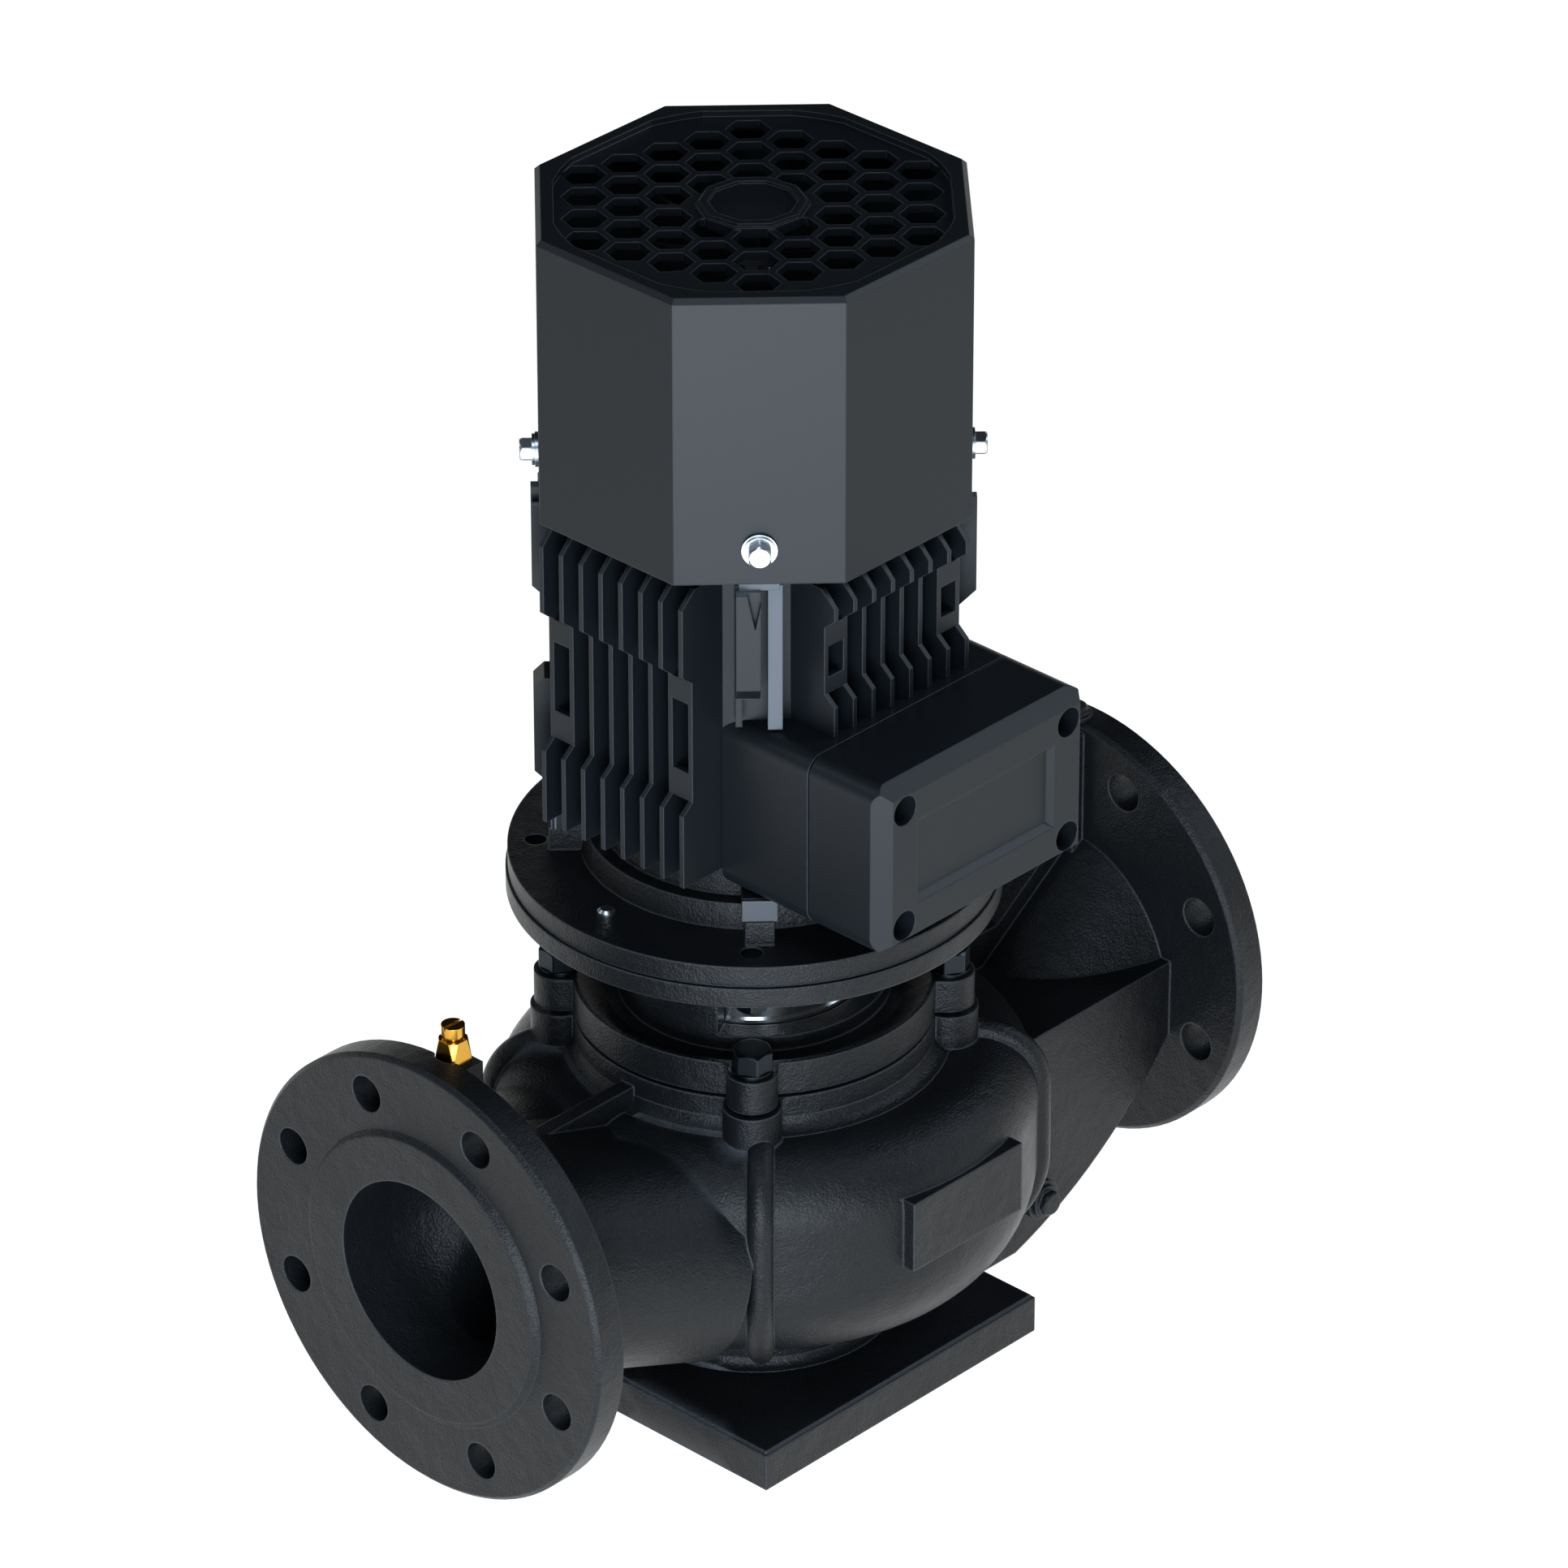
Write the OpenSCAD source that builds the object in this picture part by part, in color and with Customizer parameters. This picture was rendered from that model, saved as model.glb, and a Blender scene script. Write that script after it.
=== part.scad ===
// Vertical inline circulation pump with a finned motor, a terminal box and an eight-sided fan cowl.
// Millimetres. Z is up along the shaft, X runs along the pipe from suction to discharge.
// The origin is where the shaft axis meets the underside of the base plate.

/* [Pipework] */
// Height of the pipe axis above the floor
pipe_z = 130.5; // [110:0.5:160]
// Shaft axis to the suction flange face
suction_len = 220; // [190:1:260]
// Shaft axis to the discharge flange face
discharge_len = 238; // [200:1:280]
// Outside diameter of both flanges
flange_od = 220; // [190:1:260]
// Thickness of both flanges
flange_thk = 21; // [14:1:26]
// Width of the rim outside the bolt circle of both flanges
bolt_rim = 20; // [15:1:30]
// Bolt hole of the suction flange
suction_hole = 18; // [14:0.5:23]
// Bolt hole of the discharge flange
discharge_hole = 19; // [14:0.5:23]
// Number of flange holes
flange_holes = 8; // [4:4:12]
// Bore of the ports at the flange face
port_bore = 98; // [60:1:110]
// Diameter of the raised face
face_dia = 147; // [120:1:160]
// Height of the raised face
face_lift = 3; // [1:0.5:4]

/* [Volute] */
// Underside of the volute
volute_low = 48; // [40:1:56]
// Shoulder of the volute
volute_high = 163; // [150:1:168]
// Radius of the volute's lower edge
low_edge = 50; // [40:1:55]
// Radius of the volute's upper edge
high_edge = 30; // [20:1:40]
// Outer radius of the volute at the cutwater
volute_start = 110; // [104:1:120]
// Growth of the outer radius in each quarter turn
volute_step = 5.5; // [2:0.5:8]
// Wall of the casing
wall = 8; // [5:0.5:12]
// Radius of the round foot
foot_r = 63; // [50:1:80]
// Radius of the half round ribs
rib_r = 6; // [2:0.5:7]

/* [Base plate] */
// Length along the pipe
base_len = 184; // [150:1:240]
// Width across the pipe
base_wid = 194; // [150:1:240]
// Thickness
base_thk = 20; // [12:1:30]
// Offset of the plate towards the suction side
base_shift = 3; // [0:1:10]

/* [Lantern] */
// Top of the casing ring, where the lantern sits
ring_z = 180; // [170:1:200]
// Height of the lantern's lower ring
ring_h = 18.5; // [12:0.5:26]
// Radius of the ring
ring_r = 85; // [75:0.5:95]
// Radius of the bolt circle of the ring
ear_r = 90; // [84:0.5:100]
// Radius of an ear
ear_rad = 11.8; // [9:0.1:14]
// Turn of the ears, ribs and disc bolts about the shaft, in degrees
ear_turn = 42.8; // [40:0.1:50]
// Radius of both motor discs
disc_r = 113; // [100:1:125]
// Top of the upper disc
disc_top = 267; // [250:1:290]
// Thickness of one disc
disc_thk = 10.3; // [8:0.1:14]
// Radius of the bolts between the two discs
disc_bolt_r = 100; // [94:1:102]

/* [Motor] */
// Radius of the barrel between the fins
barrel_r = 72; // [66:1:76]
// Radius of the barrel at its four corners
corner_r = 80; // [77:1:84]
// Distance from the axis to the fin tips
fin_tip = 92.5; // [86:0.5:94]
// Depth of the step in the fins
fin_step = 6; // [3:0.5:9]
// Fins on each side
fins = 8; // [6:1:10]
// Distance from the first fin to the last
fin_span = 86; // [70:1:90]
// Thickness of a fin
fin_thk = 2.4; // [1.6:0.1:3.4]
// Underside of the motor frame
frame_z = 296; // [290:1:305]
// Top of the fins
fin_top = 449; // [440:1:452]
// Shaft radius at the bearings
shaft_r = 12.5; // [10:0.5:16]

/* [Terminal box] */
// Width
box_w = 136; // [110:1:150]
// Height
box_h = 86; // [60:1:94]
// Height of the box's middle
box_z = 333; // [320:1:345]
// Distance from the shaft axis to the joint of cover and base
box_seam = 97; // [94:1:106]
// Depth of the cover
cover_d = 46; // [30:1:60]
// Width of the slanted edge of the cover
cover_edge = 6.3; // [3:0.1:9]
// Height and width of the four cover screws' pattern
screw_dx = 108; // [80:1:116]
screw_dz = 59; // [46:0.5:70]

/* [Fan cowl] */
// Distance from the axis to the four screw faces
cowl_face = 96.2; // [90:0.1:102]
// Half width of the screw faces
cowl_half = 37.9; // [34:0.1:42]
// Underside of the cowl
cowl_z = 454; // [440:1:470]
// Top of the cowl
cowl_top = 595; // [560:1:620]
// Thickness of the cowl's wall
cowl_wall = 2.5; // [1.5:0.5:4]
// Pitch of the hexagons in the grille
grille_pitch = 21.5; // [16:0.1:24]
// Bar between two hexagons
grille_bar = 3.4; // [2:0.1:5]
// Height of the cowl screws
cowl_screw_z = 471.5; // [462:0.5:480]

/* [Hydraulics] */
// Radius of the impeller
imp_r = 66; // [55:1:68]
// Blades of the impeller
blades = 6; // [5:1:8]
// Underside of the impeller's outlet
imp_z = 118; // [112:1:124]
// Width of the outlet
imp_w = 12; // [8:1:16]

/* [Hidden] */
eps = 0.01;
gap = 0.3;
run_gap = 0.05;
iron = [0.13, 0.14, 0.15];
alu = [0.16, 0.17, 0.18];
steel = [0.72, 0.74, 0.76];
zinc = [0.66, 0.69, 0.72];
brass = [0.80, 0.62, 0.28];
copper = [0.75, 0.42, 0.22];
rubber = [0.06, 0.06, 0.06];

disc_mid = disc_top - disc_thk;
disc_low = disc_top - 2 * disc_thk;
disc_screw_r = 93.4;
ring_top = ring_z + ring_h;
imp_top = imp_z + imp_w;
eye_r = 33;
hub_r = 17;
hub_root_r = 64;
bolt_circle = flange_od - 2 * bolt_rim;
block_half = 9;
hub_low = 108;
hub_top = 146;
plate_z = 154;
seat_z = 170;
collar_top = 484;
column_half = 8;
column_reach = 100;
column_cut = 5;
column_root = 71;
lug_h = 12;
box_back = 44.6;
board_y = 88;
box_r = 9;
cover_slant = 8;
cover_z = 188;
cover_face_y = box_seam + cover_d;
cowl_main = (cowl_face + cowl_half) / sqrt(2);
chan_z = 124;
chan_r = 27;
pot_top = 90;
suction_z = 74;
lower_bearing_z = 270;
upper_bearing_z = 440;
fan_z = 530;
bearing_h = 16;
bearing_r = 31;
stator_r = 66;
rotor_r = 37;
stator_low = 318;
stator_top = 408;

// Copies its children round the shaft axis, the first one at angle a.
module around(count, a = 0) {
    for (i = [0 : count - 1]) {
        rotate([0, 0, a + i * 360 / count])
            children();
    }
}

module ring(r_out, r_in, h, fn = 64) {
    difference() {
        cylinder(r = r_out, h = h, $fn = fn);
        translate([0, 0, -1])
            cylinder(r = r_in, h = h + 2, $fn = fn);
    }
}

// Hexagon head with a rounded top, flange_r > 0 adds the collar under it.
module hex_head(af, h, flange_r = 0, flange_h = 1.5) {
    intersection() {
        cylinder(r = af / sqrt(3), h = h, $fn = 6);
        union() {
            cylinder(r = af / sqrt(3) - 0.2, h = h - 1.2, $fn = 24);
            translate([0, 0, h - 1.2])
                cylinder(r1 = af / sqrt(3) - 0.2, r2 = af / 2 - 0.4, h = 1.2, $fn = 24);
        }
    }
    if (flange_r > 0)
        cylinder(r = flange_r, h = flange_h, $fn = 24);
}

// Section of the volute: upright wall, two round edges and a flat shoulder a hair below the upper one.
module volute_section(r_out) {
    shoulder_r = r_out - high_edge;
    belly_r = r_out - low_edge;
    shoulder_z = volute_high - 0.2;
    translate([0, volute_low])
        square([belly_r, shoulder_z - volute_low]);
    translate([belly_r - eps, volute_low + low_edge])
        square([shoulder_r - belly_r + 2 * eps, shoulder_z - volute_low - low_edge]);
    translate([belly_r, volute_low + low_edge])
        square([low_edge, volute_high - high_edge - volute_low - low_edge]);
    translate([belly_r, volute_low + low_edge])
        circle(r = low_edge, $fn = 64);
    translate([shoulder_r, volute_high - high_edge])
        circle(r = high_edge, $fn = 48);
}

half_step = volute_step / 2;

function quarter_r(q) = volute_start + (q + 1) * volute_step;

// Four quarter turns whose centres sit on the corners of a small square, so that each
// one meets the next in a common tangent and the wall winds outwards.
module quarter_turn(q) {
    rotate([0, 0, 90 * q])
        translate([-half_step, half_step, 0])
            children();
}

module spiral_body() {
    for (q = [0 : 3]) {
        quarter_turn(q)
            rotate_extrude(angle = 90, $fn = 96)
                volute_section(quarter_r(q));
    }
}

module spiral_channel() {
    for (q = [0 : 3]) {
        quarter_turn(q)
            rotate_extrude(angle = 90, $fn = 64)
                translate([quarter_r(q) - wall - chan_r, chan_z])
                    circle(r = chan_r, $fn = 32);
    }
}

// Round rod or cone from point p to point q.
module rod(p, q, r1, r2, fn = 48) {
    v = q - p;
    translate(p)
        rotate([0, acos(v.z / norm(v)), atan2(v.y, v.x)])
            cylinder(r1 = r1, r2 = r2, h = norm(v), $fn = fn);
}

// One pipe flange, its face on x = 0 and its body towards +X.
module flange_blank() {
    edge = 2;
    rotate([0, 90, 0])
        rotate_extrude($fn = 96)
            polygon([
                [0, 0],
                [face_dia / 2 - face_lift, 0],
                [face_dia / 2, face_lift],
                [flange_od / 2 - edge, face_lift],
                [flange_od / 2, face_lift + edge],
                [flange_od / 2, flange_thk - edge],
                [flange_od / 2 - edge, flange_thk],
                [0, flange_thk]
            ]);
}

// Conical root of the suction neck on the back of its flange.
module flange_hub() {
    root = 6;
    rotate([0, 90, 0])
        translate([0, 0, flange_thk - eps])
            cylinder(r1 = hub_root_r + root, r2 = hub_root_r, h = root, $fn = 96);
}

module flange_bores(hole) {
    for (i = [0 : flange_holes - 1]) {
        rotate([22.5 + i * 360 / flange_holes, 0, 0])
            translate([-1, 0, bolt_circle / 2])
                rotate([0, 90, 0])
                    cylinder(d = hole, h = flange_thk + 2, $fn = 32);
    }
}

// Block behind the top of a flange that carries the tapping, face at x = 0.
module tapping_block(depth) {
    translate([0, -block_half, 0])
        cube([depth, 2 * block_half, flange_od / 2 - 5]);
}

// Elbow of the discharge: flat sides, a round underside and a slanted, rounded top.
module discharge_neck() {
    side = 66;
    x_end = discharge_len - flange_thk + 1;
    top_z = pipe_z + 3;
    intersection() {
        translate([60, -side, 20])
            cube([x_end - 60, 2 * side, top_z - 20]);
        translate([42, side + 1, pipe_z + 102])
            rotate([90, 0, 0])
                cylinder(r = 223, h = 2 * side + 2, $fn = 128);
    }
    intersection() {
        translate([80, -side, 60])
            cube([x_end - 80, 2 * side, 130]);
        translate([151, 0, pipe_z + 2])
            rotate([0, -35, 0])
                translate([-70, 0, -70])
                    rotate([0, 90, 0])
                        linear_extrude(height = 180)
                            rounded_rect(140, 2 * side - 2, 60);
        translate([42, side + 1, pipe_z + 102])
            rotate([90, 0, 0])
                cylinder(r = 223, h = 2 * side + 2, $fn = 128);
    }
}

module rounded_rect(a, b, r) {
    square([a - 2 * r, b], center = true);
    square([a, b - 2 * r], center = true);
    for (sx = [-1, 1]) {
        for (sy = [-1, 1]) {
            translate([sx * (a / 2 - r), sy * (b / 2 - r)])
                circle(r = r, $fn = 48);
        }
    }
}

// Bolt ears on the diagonals of the lantern's ring.
module ears(z, h, r) {
    around(4, ear_turn)
        translate([ear_r, 0, z]) {
            cylinder(r = r, h = h, $fn = 48);
            translate([-14, -r, 0])
                cube([14, 2 * r, h]);
        }
}

// Half round rib that runs down the wall of the volute at one angle, its bends a little tighter than the wall's.
module casing_rib(angle) {
    q = floor(angle / 90);
    r_out = quarter_r(q);
    high_bend = high_edge - 1.5;
    low_bend = low_edge - 1.5;
    quarter_turn(q)
        rotate([0, 0, angle - 90 * q]) {
            rod([60, 0, volute_high], [r_out - high_bend, 0, volute_high], rib_r, rib_r, 20);
            rod([r_out, 0, volute_low + low_bend], [r_out, 0, volute_high - high_bend], rib_r, rib_r, 20);
            rod([50, 0, volute_low], [r_out - low_bend, 0, volute_low], rib_r, rib_r, 20);
            rib_bend(r_out - high_bend, volute_high - high_bend, high_bend, 0);
            rib_bend(r_out - low_bend, volute_low + low_bend, low_bend, -90);
        }
}

module rib_bend(x, z, r, turn) {
    translate([x, 0, z])
        rotate([90, 0, 0])
            rotate([0, 0, turn])
                rotate_extrude(angle = 90, $fn = 64)
                    translate([r, 0])
                        circle(r = rib_r, $fn = 20);
}

module base_plate() {
    color(iron)
        difference() {
            translate([-base_len / 2 - base_shift, -base_wid / 2, 0]) {
                edge = 1.5;
                cube([base_len, base_wid, base_thk - edge]);
                translate([edge, edge, base_thk - edge - eps])
                    cube([base_len - 2 * edge, base_wid - 2 * edge, edge + eps]);
            }
            around(4, 45)
                translate([foot_r - 16, 0, -1])
                    cylinder(r = 5.5, h = base_thk + 2, $fn = 24);
            around(4, 45)
                translate([foot_r - 16, 0, -1])
                    cylinder(r = 9, h = 10, $fn = 24);
        }
}

module base_screws() {
    color(zinc)
        around(4, 45)
            translate([foot_r - 16, 0, 0]) {
                translate([0, 0, 1])
                    cylinder(r = 8, h = 8, $fn = 24);
                cylinder(r = 4.9, h = 34, $fn = 24);
            }
}

module casing() {
    ear_h = 26;
    color(iron)
        difference() {
            union() {
                spiral_body();
                cylinder_at(base_thk, foot_r, 50, 72);
                cylinder_at(ring_z - 24, ring_r - 0.6, 24, 96);
                around(4, ear_turn)
                    translate([ear_r, 0, ring_z - ear_h])
                        cylinder(r = ear_rad + 1.8, h = ear_h, $fn = 48);
                suction_neck();
                translate([-suction_len, 0, pipe_z]) {
                    flange_blank();
                    flange_hub();
                }
                translate([discharge_len, 0, pipe_z])
                    mirror([1, 0, 0])
                        flange_blank();
                discharge_neck();
                translate([-suction_len + flange_thk - 1, 0, pipe_z])
                    tapping_block(14);
                translate([discharge_len - flange_thk - 7, 0, pipe_z])
                    tapping_block(8);
                gusset();
                for (q = [0 : 3]) {
                    casing_rib(ear_turn + 90 * q);
                }
                name_pad();
                drain_boss();
            }
            casing_hollow();
        }
}

// Neck that drops from the suction flange to the lower half of the volute and widens to it.
module suction_neck() {
    start = [-suction_len + 26, 0, pipe_z - 2];
    rod(start, [-78, 0, 100], 60, 51, 72);
    for (s = [-1, 1]) {
        rod(start + [4, 6 * s, 0], [-84, 42 * s, 103], 53, 52, 64);
    }
    rod([-suction_len + flange_thk, 0, pipe_z], start + [10, 0, 0], hub_root_r, 60, 72);
}

// Upright web that ties both necks to the ring.
module gusset() {
    thk = 8;
    top = 174;
    translate([-suction_len + 12, -thk / 2, pipe_z])
        cube([suction_len - 12 - ring_r + 6, thk, top - pipe_z]);
    flange_back = discharge_len - flange_thk + 1;
    translate([0, thk / 2, 0])
        rotate([90, 0, 0])
            linear_extrude(height = thk)
                polygon([
                    [ring_r - 6, pipe_z],
                    [flange_back, pipe_z],
                    [flange_back, 190],
                    [163, 152],
                    [ring_r - 6, 152]
                ]);
}

// Blank raised field on the terminal box side.
module name_pad() {
    pad_w = 73;
    pad_h = 36;
    pad_y = quarter_r(2) + half_step + 1.5;
    translate([4 - pad_w / 2, -pad_y, 123 - pad_h / 2])
        cube([pad_w, 40, pad_h]);
}

drain_x = 118;
drain_y = 76;
drain_z = 50;

module drain_boss() {
    translate([drain_x, -drain_y, drain_z])
        rotate([90, 0, 0])
            translate([0, 0, -30])
                cylinder(r = 10, h = 30, $fn = 32);
}

// All the hollows of the casing: ports, suction bend, eye, chamber, channel and outlet.
module casing_hollow() {
    bend = [-suction_len + 31, 0, pipe_z];
    throat = [-122, 0, suction_z + 3];
    outlet = [discharge_len - 28, 0, pipe_z - 2];
    elbow = [149, -30, 105];
    rod([-suction_len - 1, 0, pipe_z], bend, port_bore / 2, port_bore / 2, 72);
    translate(bend)
        sphere(d = port_bore, $fn = 48);
    rod(bend + [3, 0, -5], throat, 44, 15);
    translate([throat.x, 0, suction_z])
        rotate([0, 90, 0])
            linear_extrude(height = 100)
                rounded_rect(28, 84, 13);
    translate([0, 0, 56])
        cylinder(r = 56, h = pot_top - 56, $fn = 64);
    translate([0, 0, pot_top - 5])
        cylinder(r = eye_r + 6, h = 26, $fn = 48);
    translate([0, 0, imp_z - 8])
        cylinder(r = imp_r + 6, h = 60, $fn = 72);
    translate([0, 0, plate_z])
        cylinder(r = 75, h = 60, $fn = 72);
    spiral_channel();
    rod([60, -78, 110], elbow, 20, 21, 40);
    translate(elbow)
        sphere(r = 21.6, $fn = 40);
    rod(elbow, outlet + 15 * (outlet - elbow) / norm(outlet - elbow), 21, 29, 40);
    rod(outlet - [2, 0, 0], [discharge_len + 5, 0, pipe_z + 0.3], 30, port_bore / 2 + 3, 72);
    translate([-suction_len, 0, pipe_z])
        flange_bores(suction_hole);
    translate([discharge_len - flange_thk, 0, pipe_z])
        flange_bores(discharge_hole);
    around(4, ear_turn)
        translate([ear_r, 0, ring_z - 17])
            cylinder(r = 5.1, h = 30, $fn = 24);
    around(4, 45)
        translate([foot_r - 16, 0, 0])
            cylinder(r = 5, h = 36, $fn = 24);
    translate([drain_x, -drain_y + 14, drain_z])
        rotate([90, 0, 0])
            cylinder(r = 5.1, h = 20, $fn = 24);
    vent_tapping();
    gauge_tapping();
}

vent_x = -suction_len + flange_thk + 3.5;
gauge_x = discharge_len - flange_thk + 4;

module vent_tapping() {
    translate([vent_x, 0, vent_z])
        cylinder(r = 9, h = 20, $fn = 48);
    translate([vent_x, 0, pipe_z + flange_od / 2 - 16])
        cylinder(r = 4.1, h = 20, $fn = 24);
    translate([vent_x, 0, pipe_z + port_bore / 2 - 6])
        cylinder(r = 1.6, h = flange_od / 2, $fn = 16);
}

module gauge_tapping() {
    translate([gauge_x, 0, pipe_z + flange_od / 2 - 12])
        cylinder(r = 5.1, h = 20, $fn = 24);
}

module casing_gasket() {
    color(rubber)
        translate([0, 0, plate_z + 6 + eps])
            ring(74.9, 71, 2 - 2 * eps);
}

module wear_ring() {
    color(brass)
        translate([0, 0, 100])
            ring(eye_r + 6, eye_r + gap, 10, 48);
}

module drain_plug() {
    color(iron)
        translate([drain_x, -drain_y, drain_z])
            rotate([90, 0, 0]) {
                hex_head(11, 6, 8, 2);
                translate([0, 0, -12])
                    cylinder(r = 5, h = 12 + eps, $fn = 24);
            }
}

module gauge_plugs() {
    color(iron) {
        translate([gauge_x, 0, pipe_z + flange_od / 2])
            plug(5);
        translate([vent_x + 3, -block_half, pipe_z + flange_od / 2 - 18])
            rotate([90, 0, 0])
                cylinder(r = 4.5, h = 4, $fn = 24);
    }
}

module plug(r) {
    hex_head(11, 6, 8, 2);
    translate([0, 0, -10])
        cylinder(r = r, h = 10 + eps, $fn = 24);
}

vent_z = pipe_z + flange_od / 2 - 5;

module vent_body() {
    color(brass)
        translate([vent_x, 0, vent_z])
            difference() {
                union() {
                    translate([0, 0, -9])
                        cylinder(r = 4, h = 10, $fn = 24);
                    intersection() {
                        rotate([0, 0, 45])
                            cylinder(r = 12 / sqrt(2), h = 13, $fn = 4);
                        cylinder(r1 = 8.6, r2 = 6.6, h = 13, $fn = 32);
                    }
                }
                translate([0, 0, 2])
                    cylinder(r = 3 + run_gap, h = 20, $fn = 24);
                translate([0, 0, -10])
                    cylinder(r = 1.5, h = 20, $fn = 16);
            }
}

module vent_screw() {
    color(brass)
        translate([vent_x, 0, vent_z]) {
            translate([0, 0, 3])
                cylinder(r = 3, h = 14, $fn = 24);
            translate([0, 0, 13 + gap])
                cylinder(r = 4.4, h = 2, $fn = 24);
            difference() {
                translate([0, 0, 15])
                    cylinder(r1 = 5.4, r2 = 5.4, h = 5, $fn = 32);
                translate([-6, -0.6, 18.6])
                    cube([12, 1.2, 2]);
            }
        }
}

module lantern() {
    bowl_z = 192;
    post_r = 63;
    groove = 2;
    post_low = 196;
    color(iron)
        difference() {
            union() {
                cylinder_at(ring_z + gap, ring_r - 4, groove, 96);
                cylinder_at(ring_z + groove, ring_r - 0.6, ring_h - groove, 96);
                ears(ring_z + groove, ring_h - groove, ear_rad);
                difference() {
                    cylinder_at(bowl_z - 6, post_r, disc_low - bowl_z + 7, 72);
                    translate([0, 0, ring_top + 1])
                        linear_extrude(height = disc_low - ring_top - 5)
                            window_plan();
                }
                translate([0, 0, disc_low])
                    cylinder(r = disc_r + 1, h = disc_thk - 0.6, $fn = 128);
                cylinder_at(plate_z + 8 + gap, 74.7, bowl_z - plate_z - 14, 72);
            }
            cylinder_at(plate_z, 56, post_low - plate_z, 72);
            cylinder_at(post_low - eps, 52.2, 100, 72);
            translate([0, 0, bowl_z])
                difference() {
                    cylinder(r1 = 70, r2 = 82, h = ring_top - bowl_z + eps, $fn = 96);
                    translate([0, 0, -1])
                        cylinder(r = post_r, h = 20, $fn = 72);
                }
            around(4, ear_turn)
                translate([ear_r, 0, ring_z - 5])
                    cylinder(r = 5.5, h = 50, $fn = 24);
            around(4, ear_turn)
                translate([disc_bolt_r, 0, disc_low - 5])
                    cylinder(r = 5.5, h = 30, $fn = 24);
            around(4, ear_turn - 45)
                translate([disc_screw_r, 0, disc_low - 5])
                    cylinder(r = 3, h = 30, $fn = 24);
        }
}

// Plan of the two windows, which leave a post towards each flange.
module window_plan() {
    post_half = 28;
    far = 100;
    for (s = [0, 180]) {
        rotate(s)
            polygon([
                [0, 0],
                [far * cos(post_half), far * sin(post_half)],
                [far, far],
                [-far, far],
                [-far * cos(post_half), far * sin(post_half)]
            ]);
    }
}

module ring_bolts() {
    color(zinc)
        around(4, ear_turn)
            translate([ear_r, 0, ring_top + 2]) {
                rotate([0, 0, 15])
                    hex_head(17, 10);
                translate([0, 0, -34])
                    cylinder(r = 5, h = 34 + eps, $fn = 24);
            }
}

module ring_washers() {
    color(zinc)
        around(4, ear_turn)
            translate([ear_r, 0, ring_top])
                ring(9.5, 5.4, 2, 32);
}

module backplate() {
    color(iron)
        translate([0, 0, plate_z + eps])
            difference() {
                union() {
                    cylinder(r = 74.9, h = 6, $fn = 72);
                    cylinder(r = 50, h = cover_z - plate_z - eps, $fn = 64);
                }
                translate([0, 0, -1])
                    cylinder(r = 27, h = seat_z - plate_z + 1, $fn = 48);
                translate([0, 0, -1])
                    cylinder(r = 21, h = 60, $fn = 48);
            }
}

module seal_cover() {
    flange_h = 5;
    body_h = 34;
    color(steel)
        translate([0, 0, cover_z + eps])
            difference() {
                union() {
                    cylinder(r = 55, h = flange_h, $fn = 96);
                    translate([0, 0, flange_h - eps])
                        cylinder(r = 52.5, h = 2, $fn = 96);
                    cylinder(r = 50, h = body_h, $fn = 96);
                    translate([0, 0, 11])
                        cylinder(r = 51.5, h = 2.5, $fn = 96);
                    translate([0, 0, body_h - eps])
                        cylinder(r1 = 50, r2 = 36, h = 8, $fn = 96);
                }
                translate([0, 0, -1])
                    cylinder(r = 47, h = body_h - 2, $fn = 64);
                cylinder(r = 18, h = 60, $fn = 48);
            }
}

module seal_seat() {
    color([0.85, 0.85, 0.83])
        translate([0, 0, seat_z])
            ring(21 - run_gap, 14, 8, 48);
}

module seal_head() {
    color(rubber)
        translate([0, 0, seat_z - 8])
            ring(19, shaft_r, 8 - run_gap, 48);
}

// Coils of the seal's spring, which fill the room between the impeller's hub and the seal's head.
module seal_spring() {
    wire = 1.4;
    coils = 5;
    room = seat_z - 8 - hub_top - 2 * gap;
    pitch = (room - 2 * wire) / (coils - 1);
    color(steel)
        translate([0, 0, hub_top + gap + wire])
            for (i = [0 : coils - 1]) {
                translate([0, 0, i * pitch])
                    rotate_extrude($fn = 32)
                        translate([15.2, 0])
                            circle(r = wire, $fn = 16);
            }
}

// Backward curved blades between two shrouds, the blades cut from circular arcs.
module impeller() {
    blade_r = 52;
    blade_off = 44;
    blade_t = 3.2;
    color(brass)
        difference() {
            union() {
                translate([0, 0, imp_top - 0.01])
                    cylinder(r = imp_r, h = 4, $fn = 72);
                translate([0, 0, imp_z - 4])
                    ring(imp_r, eye_r - 3, 4.01, 72);
                translate([0, 0, 101])
                    ring(eye_r, eye_r - 4, imp_z - 101, 48);
                cylinder_at(hub_low, hub_r, hub_top - hub_low);
                intersection() {
                    translate([0, 0, imp_z - 0.5])
                        ring(imp_r, hub_r - 1, imp_w + 1, 72);
                    around(blades)
                        intersection() {
                            translate([blade_off - 8, -blade_off + 14, imp_z - 1])
                                ring(blade_r / 1.3, blade_r / 1.3 - blade_t, imp_w + 2, 48);
                            translate([0, 0, imp_z - 1])
                                cube([80, 80, imp_w + 2]);
                        }
                }
            }
            cylinder(r = shaft_r - 2, h = 300, $fn = 48);
            translate([-3.1, 0, hub_low + 4])
                cube([6.2, shaft_r + 1, 60]);
        }
}

module cylinder_at(z, r, h, fn = 48) {
    translate([0, 0, z])
        cylinder(r = r, h = h, $fn = fn);
}

module impeller_key() {
    color(steel)
        translate([-3, shaft_r - 5.5, hub_low + 5])
            cube([6, 6, 30]);
}

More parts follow.
